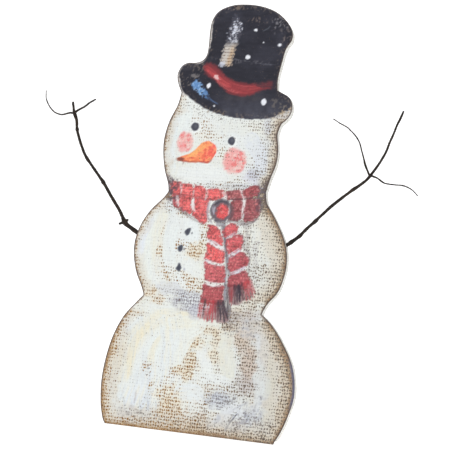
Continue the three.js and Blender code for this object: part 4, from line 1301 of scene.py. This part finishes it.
def print_finish():
    """The painted burlap: paint sits on the threads, and burlap shows where it is worn thin."""
    f = Finish("painted_burlap", specular=0.22)
    spot = f.place(rotation=LEAN)
    axes = split(f, spot)
    height = weave_height(f, axes[0], axes[2])
    paint = f.attribute("paint")
    cover = paint.outputs["Alpha"]
    dry = f.amount("dry")
    fine = f.minus(f.noise(spot, 2.4, 3.0, 0.7), 0.5)
    broad = f.minus(f.noise(spot, 8.0, 2.0), 0.5)
    burlap = burlap_colour(f, spot, axes[0], height, cover)
    lift = f.times(f.minus(height, 0.59), 0.92)
    level = f.plus(cover, lift, f.times(fine, 1.6), f.times(broad, 0.3))
    painted = f.ramp(level, 0.44, 0.60)
    shade = f.plus(0.93, f.plus(f.times(height, 0.10), f.times(fine, 0.22)))
    shaded = f.node("ShaderNodeVectorMath", {0: paint.outputs["Color"], "Scale": shade}, operation="SCALE")
    colour = f.mix(painted, burlap, shaded.outputs[0])
    lit = f.plus(height, f.times(fine, 0.9))
    brushed = f.times(f.ramp(lit, 0.52, 0.78), dry)
    colour = f.mix(brushed, colour, tint(230, 234, 236))
    specks = f.plus(f.noise(spot, 1.5, 2.0, 0.6), f.times(height, -0.22), f.times(f.amount("soot"), 0.30))
    colour = f.mix(f.times(f.ramp(specks, 0.56, 0.66), 0.7), colour, tint(96, 86, 80))
    f.set("Base Color", colour)
    f.set("Roughness", f.ramp(painted, -0.6, 2.2))
    body = f.times(painted, 0.35)
    grain = f.times(f.noise(spot, 0.7, 2.0), 0.25)
    f.bump(f.plus(height, body, grain), 0.16, 0.45)
    return f.material


def fibreboard_colour(f, spot):
    """Raw fibreboard: tan felted fibres with darker flecks."""
    felt = f.noise(spot, 3.0, 5.0, 0.7)
    flecks = f.ramp(f.noise(spot, 0.9, 2.0), 0.62, 0.74)
    blotch = f.ramp(f.noise(spot, 26, 2.0), 0.35, 0.7)
    base = f.mix(f.ramp(felt, 0.3, 0.7), tint(158, 122, 82), tint(186, 152, 110))
    base = f.mix(f.times(blotch, 0.4), base, tint(168, 138, 100))
    return f.mix(f.times(flecks, 0.5), base, tint(112, 82, 54)), felt


def board_finish():
    """White paint on the edges, lapping over raw fibreboard behind, worn brown along the arrises."""
    f = Finish("painted_board", specular=0.25)
    spot = f.place(rotation=LEAN)
    raw, felt = fibreboard_colour(f, spot)
    rim = f.amount("rim")
    arris = f.amount("arris")
    streak = f.noise(f.place((0.25, 0.25, 0.06), LEAN), 1.0, 4.0, 0.7)
    ragged = f.times(f.minus(f.noise(spot, 6.0, 5.0, 0.7), 0.5), 8)
    lap = f.ramp(f.plus(rim, ragged), 9.5, 5.5)
    white = f.mix(f.ramp(streak, 0.35, 0.7), tint(238, 238, 234), tint(221, 220, 214))
    thin = f.times(f.ramp(f.noise(spot, 1.6, 4.0, 0.7), 0.56, 0.70), 0.5)
    white = f.mix(thin, white, tint(196, 184, 166))
    chips = f.ramp(f.plus(arris, f.times(f.noise(spot, 1.4, 3.0, 0.7), 0.9)), 1.05, 1.25)
    colour = f.mix(lap, raw, white)
    colour = f.mix(f.times(chips, 0.85), colour, tint(96, 74, 56))
    f.set("Base Color", colour)
    f.set("Roughness", f.minus(0.86, f.times(lap, 0.22)))
    f.bump(f.plus(f.times(felt, 0.6), f.times(lap, 0.5)), 0.12, 0.5)
    return f.material


def strut_finish():
    """Bare fibreboard: smooth tan faces and darker, fuzzy sawn edges."""
    f = Finish("bare_fibreboard", specular=0.2)
    spot = f.place()
    raw, felt = fibreboard_colour(f, spot)
    facing = split(f, f.node("ShaderNodeNewGeometry", {}).outputs["Normal"])
    edge = f.ramp(f.math("ABSOLUTE", facing[1]), 0.85, 0.55)
    saw = f.noise(f.place((0.2, 2.0, 0.2)), 1.0, 3.0, 0.7)
    sawn = f.mix(f.ramp(saw, 0.35, 0.7), tint(120, 88, 58), tint(150, 114, 78))
    colour = f.mix(f.times(edge, 0.8), raw, sawn)
    scuffs = f.ramp(f.noise(f.place((0.1, 0.1, 0.9)), 1.0, 4.0, 0.6), 0.60, 0.68)
    colour = f.mix(f.times(scuffs, 0.35), colour, tint(206, 180, 142))
    f.set("Base Color", colour)
    f.set("Roughness", f.plus(0.72, f.times(edge, 0.2)))
    f.bump(f.plus(felt, f.times(edge, saw)), 0.12, 0.5)
    return f.material


def bark_finish():
    """Dry twig bark: almost black brown, paler on the ridges, with grey lichen freckles."""
    f = Finish("twig_bark", specular=0.3)
    spot = f.place()
    grain = f.noise(f.place((1.0, 1.0, 0.45)), 1.1, 4.0, 0.7)
    patchy = f.noise(spot, 9, 2.0)
    colour = f.mix(f.ramp(grain, 0.35, 0.68), tint(20, 14, 10), tint(48, 37, 29))
    colour = f.mix(f.times(f.ramp(patchy, 0.5, 0.7), 0.5), colour, tint(62, 48, 36))
    freckles = f.ramp(f.noise(spot, 0.8, 1.0), 0.70, 0.76)
    colour = f.mix(f.times(freckles, 0.6), colour, tint(104, 90, 76))
    f.set("Base Color", colour)
    f.set("Roughness", f.plus(0.62, f.times(grain, 0.25)))
    f.bump(grain, 0.25, 0.7)
    return f.material


def steel_finish(name, light, dark, brushed):
    """Zinc-plated steel: a faint spangle, fine rolling lines and dull spots."""
    f = Finish(name, metallic=1.0, specular=0.5)
    spot = f.place()
    spangle = f.noise(spot, 2.2, 3.0, 0.6)
    lines = f.noise(f.place(brushed), 1.0, 2.0)
    spots = f.ramp(f.noise(spot, 1.1, 4.0, 0.7), 0.60, 0.72)
    colour = f.mix(f.ramp(spangle, 0.35, 0.65), tint(*dark), tint(*light))
    colour = f.mix(f.times(spots, 0.5), colour, tint(126, 112, 92))
    f.set("Base Color", colour)
    rough = f.plus(0.30, f.times(lines, 0.16))
    f.set("Roughness", f.plus(rough, f.times(spots, 0.2)))
    f.bump(f.plus(f.times(lines, 0.5), spangle), 0.02, 0.4)
    return f.material


# ---- printed face and board ----
def paint_relief(u, v, rim):
    """Height of paint and threads over the print's front, in millimetres."""
    brush = cloud(u / 2.2, v, 3.0, 960)
    across, up = np.cos(np.pi * u / WEAVE_ACROSS), np.cos(np.pi * v / WEAVE_UP)
    threads = np.maximum(np.abs(across), np.abs(up))
    settled = ramp(rim, 0.3, 1.5)
    return settled * (0.05 * threads + 0.05 * (brush + 1))


def make_face(loop):
    face = slab("face_print", loop, FACE_STEP, 0.0, SHEET_BACK, FACE_ROUNDING, paint_relief)
    spots = board_spots(face.data)
    u, v = spots[:, 0], spots[:, 2]
    canvas = Canvas(u, v)
    paint_figure(canvas, signed_distance(loop, u, v))
    layer = face.data.color_attributes.new("paint", "FLOAT_COLOR", "POINT")
    values = np.c_[linear(canvas.rgb), canvas.cover]
    layer.data.foreach_set("color", values.astype(np.float32).ravel())
    store(face.data, "dry", canvas.dry)
    store(face.data, "soot", canvas.soot)
    face.data.materials.append(print_finish())
    return face


def make_board(loop, roots):
    board = slab("board_body", loop, BACK_STEP, BOARD_BACK, SHEET_BACK, BOARD_ROUNDING)
    for root, mouth in roots:
        drill(board, Vector(root), Vector(mouth))
    spots = board_spots(board.data)
    rim = signed_distance(loop, spots[:, 0], spots[:, 2])
    deep = spots[:, 1]
    corner = np.hypot(rim, np.minimum(np.abs(deep - SHEET_BACK), np.abs(BOARD_BACK - deep)))
    store(board.data, "rim", np.where(deep > BOARD_BACK - 0.6, rim, 0.0))
    store(board.data, "arris", ramp(corner, 0.9, 0.2))
    board.data.materials.append(board_finish())
    return board


def drill(board, root, mouth):
    """Cuts a round arm hole from `mouth`, outside the board, down to `root`."""
    way = (mouth - root).normalized()
    start, end = root - 0.3 * way, mouth + 9 * way
    bm = bmesh.new()
    turn = way.to_track_quat("Z", "Y").to_matrix().to_4x4()
    move = Matrix.Translation((start + end) / 2) @ turn
    bmesh.ops.create_cone(bm, cap_ends=True, segments=40, radius1=HOLE_RADIUS, radius2=HOLE_RADIUS,
                          depth=(end - start).length, matrix=move)
    cutter = add_mesh("drill", bm)
    cut = board.modifiers.new("hole", "BOOLEAN")
    cut.object = cutter
    cut.operation = "DIFFERENCE"
    cut.solver = "FAST"
    settle(board)
    bpy.data.objects.remove(cutter)


# ---- twig arms: every branch is (u, depth, v, radius), growing outwards ----
LEFT_TWIG = [
    [(-65, 4.8, 174.4, 1.7), (-74, 4.5, 179.6, 1.75), (-80, 4.4, 183.0, 2.3), (-84, 4.2, 185.4, 2.05),
     (-88, 4.1, 187.6, 2.1), (-91, 4, 190.2, 2.7), (-94, 3.2, 195.4, 1.8), (-98, 2, 202, 1.65),
     (-107, 0.6, 213.6, 1.6), (-114.6, -0.7, 224, 1.6), (-117, -1, 227, 2.1), (-119.6, -1.3, 230, 1.55),
     (-126.4, -2, 237.6, 1.5), (-133, -2.7, 245, 1.45), (-136, -3, 248.4, 1.75), (-139, -3.6, 252.6, 1.4),
     (-142, -4, 258, 1.4), (-146.6, -3.6, 266.6, 1.4), (-150.2, -3.1, 274.4, 1.4), (-151, -3, 277, 1.85),
     (-151.8, -2.9, 279.6, 1.35), (-153.2, -2.6, 286, 1.5), (-155, -2.3, 290, 1.75), (-157.2, -2, 294, 1.7),
     (-159, -1.4, 299, 1.15), (-160.6, -0.6, 303.4, 1.25), (-161.2, 0, 305.4, 0.8)],
    [(-157, -2, 293.4, 1.1), (-153.6, -3, 296.2, 1.05), (-149, -4.4, 298.2, 1.09), (-145, -5.8, 299.8, 0.98),
     (-140.6, -7.6, 302.6, 0.98), (-136.6, -9, 304.6, 0.86), (-132.6, -10, 306.4, 0.71)],
    [(-157.6, -2, 293.6, 1.1), (-163, -1, 293.8, 0.98), (-171, 0, 292, 0.78), (-179, 2, 294, 0.71),
     (-184, 3.1, 297.2, 0.66), (-188, 4, 301, 0.64), (-191.4, 5, 305.4, 0.59), (-194, 6, 310, 0.54),
     (-195.6, 7, 318, 0.4)],
    [(-90, 4, 190.4, 1.7), (-93.4, 3.4, 189.4, 1.35), (-96.4, 3, 188.0, 1.1)],
    [(-90.6, 4, 189.6, 1.7), (-89.4, 4.6, 192.4, 1.3), (-88.2, 5, 193.6, 0.92)],
]
RIGHT_TWIG = [
    [(60, 4.8, 171.4, 1.7), (68, 4.5, 178.2, 1.7), (71.4, 4.4, 181.0, 1.75), (74.2, 4.3, 183.2, 2.15),
     (76.4, 4.2, 185.0, 1.85), (79.6, 4.1, 187.6, 1.75), (82, 4, 189.8, 1.9), (84.6, 3.4, 192.8, 1.5),
     (86.6, 2.8, 195, 1.6), (89.4, 1.9, 197.8, 1.5), (93, 0.8, 201, 1.45), (96, 0, 203.8, 1.95),
     (98.6, -0.6, 206.6, 1.45), (104, -1.8, 212, 1.4), (110, -3, 218, 1.55), (119.4, -4.8, 226, 1.45),
     (126, -5.6, 231.6, 1.4), (129, -6, 234, 1.8), (133, -6.3, 237, 1.4), (136, -6.6, 239.4, 1.35),
     (140, -6.8, 243, 1.3), (143.4, -7, 247.4, 1.5), (145, -6.9, 250, 1.25), (148.2, -6.6, 255.4, 1.2),
     (152, -6, 263, 1.15), (155, -4.6, 271, 1.1), (157.2, -3, 280.4, 1.1), (159.6, -1.8, 288.4, 1.05),
     (161.4, -1, 296, 1), (164, 0, 303.6, 1.09), (166, 1, 310.6, 0.92)],
    [(143, -7, 246.8, 1), (140.4, -8.2, 252, 0.98), (138, -9, 257, 1.09), (136.6, -9.8, 261.6, 0.73),
     (134, -11, 269, 0.71), (131.2, -12.2, 276.6, 0.68), (127, -13, 282.4, 0.66),
     (122.6, -13.6, 286.4, 0.64), (119, -14, 289.4, 0.61), (112, -15, 292.6, 0.59),
     (105.6, -15, 296.4, 0.47)],
    [(143.4, -7, 247.4, 1), (146.6, -6.6, 246.8, 0.92), (150, -6, 245.6, 0.78), (155, -4, 242.6, 0.78),
     (158.4, -3, 241.8, 0.71), (165, -1.4, 241.6, 0.66), (172, -0.4, 241.6, 0.64), (177, 0.8, 240.4, 0.59),
     (181.4, 2, 238, 0.57), (186, 4, 233.8, 0.42)],
]
BARK_CELL = 0.27        # mesh size of the twigs
TWIG_SIDES = 12


def add_branch(bm, branch):
    """A tapering tube along a branch, with round ends."""
    path = smooth_path(branch, per=7)
    spots = [Vector(p[:3]) for p in path]
    side = Vector((0, 1, 0))
    rings = []
    for i, (spot, radius) in enumerate(zip(spots, path[:, 3].tolist())):
        along = (spots[min(i + 1, len(spots) - 1)] - spots[max(i - 1, 0)]).normalized()
        side = (side - along * side.dot(along)).normalized()
        up = along.cross(side)
        ring = []
        for k in range(TWIG_SIDES):
            angle = 2 * math.pi * k / TWIG_SIDES
            ring.append(bm.verts.new(spot + radius * (math.cos(angle) * side + math.sin(angle) * up)))
        rings.append(ring)
    for low, high in zip(rings, rings[1:]):
        for k in range(TWIG_SIDES):
            j = (k + 1) % TWIG_SIDES
            bm.faces.new((low[k], low[j], high[j], high[k]))
    bm.faces.new(rings[0][::-1])
    bm.faces.new(rings[-1])


def bark_rise(spot):
    """Height of the bark's ridges and lumps at a place, in millimetres."""
    ridges = solid_noise.noise(Vector((spot.x, spot.y, spot.z * 0.5)) / 1.3)
    return 0.10 * ridges + 0.12 * solid_noise.noise(spot / 4.5)


def make_twig(name, branches):
    """Branches grown together into one skin, then ridged and pitted like bark."""
    bm = bmesh.new()
    for branch in branches:
        add_branch(bm, branch)
    twig = add_mesh(name, bm)
    skin = twig.modifiers.new("skin", "REMESH")
    skin.mode = "VOXEL"
    skin.voxel_size = BARK_CELL * MM
    settle(twig)
    spots = [vertex.co / MM for vertex in twig.data.vertices]
    normals = [vertex.normal.copy() for vertex in twig.data.vertices]
    moved = [MM * (spot + normal * bark_rise(spot)) for spot, normal in zip(spots, normals)]
    twig.data.vertices.foreach_set("co", np.array(moved, np.float32).ravel())
    twig.data.shade_smooth()
    twig.data.materials.append(bark_finish())
    return twig


# ---- CAD nodes that stay: softened arrises and a finish ----
def dress(nodes, finish, arris):
    """Gives CAD nodes a finish and bevelled edges `arris` millimetres wide."""
    for name in nodes:
        node = frame["nodes"][name]
        weld = node.modifiers.new("weld", "WELD")
        weld.merge_threshold = 0.01 * MM
        bevel = node.modifiers.new("arris", "BEVEL")
        bevel.width = arris * MM
        bevel.segments = 2
        bevel.limit_method = "ANGLE"
        bevel.angle_limit = math.radians(35)
        node.data.materials.clear()
        node.data.materials.append(finish)
        node.data.shade_smooth()
        smooth = node.modifiers.new("shading", "WEIGHTED_NORMAL")
        smooth.keep_sharp = False


# ---- stage, light and camera ----
def make_stage():
    """A white sweep: a floor that curves up into a backdrop well behind the figure."""
    half, front, bend, radius, top = 3.2, -2.6, 1.4, 1.2, 3.4
    profile = [(front, 0.0), (bend, 0.0)]
    for k in range(1, 13):
        angle = math.pi / 2 * k / 12
        profile.append((bend + radius * math.sin(angle), radius * (1 - math.cos(angle))))
    profile.append((bend + radius, top))
    bm = bmesh.new()
    rows = [[bm.verts.new((x, y, z)) for x in (-half, half)] for y, z in profile]
    for low, high in zip(rows, rows[1:]):
        bm.faces.new((low[0], low[1], high[1], high[0]))
    sweep = add_piece("sweep", bm)
    paper = Finish("sweep_paper", specular=0.1)
    paper.set("Base Color", tint(250, 250, 250))
    paper.set("Roughness", 0.9)
    paper.set("Emission Color", tint(255, 255, 255))
    paper.set("Emission Strength", 0.45)
    sweep.data.materials.append(paper.material)


def add_softbox(name, place, aim, size, watts):
    """A rectangular area light of so many metres, turned towards `aim`."""
    data = bpy.data.lights.new(name, "AREA")
    data.shape = "RECTANGLE"
    data.size, data.size_y = size
    data.energy = watts
    light = bpy.data.objects.new(name, data)
    light.location = place
    light.rotation_euler = (Vector(aim) - Vector(place)).to_track_quat("-Z", "Y").to_euler()
    bpy.context.scene.collection.objects.link(light)


def light_scene():
    """A white room with three softboxes."""
    world = bpy.data.worlds.new("studio")
    world.use_nodes = True
    sky = world.node_tree.nodes["Background"]
    sky.inputs["Color"].default_value = (1, 1, 1, 1)
    sky.inputs["Strength"].default_value = 0.42
    bpy.context.scene.world = world
    centre = (0, 0, 0.2)
    add_softbox("key", (-1.3, -2.0, 1.7), centre, (1.6, 1.6), 23)
    add_softbox("fill", (1.9, -1.5, 0.9), centre, (1.4, 1.4), 8)
    add_softbox("top", (0.1, 0.5, 2.4), centre, (2.2, 2.2), 15)
    view = bpy.context.scene.view_settings
    view.view_transform = "Standard"
    view.look = "None"


def add_camera():
    """The viewpoint: 18 degrees round from the front, 6 degrees above, and tipped clockwise."""
    azimuth, elevation, roll = (math.radians(a) for a in (18, 6, 2.273))
    level = math.cos(elevation)
    ahead = Vector((-math.sin(azimuth) * level, math.cos(azimuth) * level, -math.sin(elevation)))
    data = bpy.data.cameras.new("camera")
    data.sensor_width = 36
    data.lens = 101.76
    camera = bpy.data.objects.new("camera", data)
    camera.location = (0.3788, -1.1306, 0.3106)
    upright = ahead.to_track_quat("-Z", "Y").to_matrix().to_4x4()
    camera.rotation_euler = (upright @ Matrix.Rotation(roll, 4, "Z")).to_euler()
    bpy.context.scene.collection.objects.link(camera)
    bpy.context.scene.camera = camera


# ---- the figure ----
add_camera()
make_stage()
light_scene()

OUTLINE = front_loop("printed_face")
ARM_HOLES = [(LEFT_TWIG[0][0][:3], (-91, 4, 190)), (RIGHT_TWIG[0][0][:3], (82, 4, 190))]
PIECES = [
    (make_face(OUTLINE), "printed_face", "printed_sheet"),
    (make_board(OUTLINE, ARM_HOLES), "board_panel", "painted_board"),
    (make_twig("twig_left", LEFT_TWIG), "arm_left", "twig"),
    (make_twig("twig_right", RIGHT_TWIG), "arm_right", "twig"),
]
for piece, node, slot in PIECES:
    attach(piece, "figure")
    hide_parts(node)

dress(["easel_strut"], strut_finish(), 0.5)
ZINC = steel_finish("zinc_leaf", (188, 184, 172), (158, 152, 138), (0.15, 3.0, 3.0))
DARK_ZINC = steel_finish("zinc_screw", (176, 168, 146), (140, 132, 112), (1.0, 1.0, 1.0))
dress(["hinge_leaf_board", "hinge_leaf_strut"], ZINC, 0.12)
dress(["hinge_pin"], DARK_ZINC, 0.1)
dress(["board_screw_1", "board_screw_2", "strut_screw_1", "strut_screw_2"], DARK_ZINC, 0.08)

bpy.context.view_layer.update()
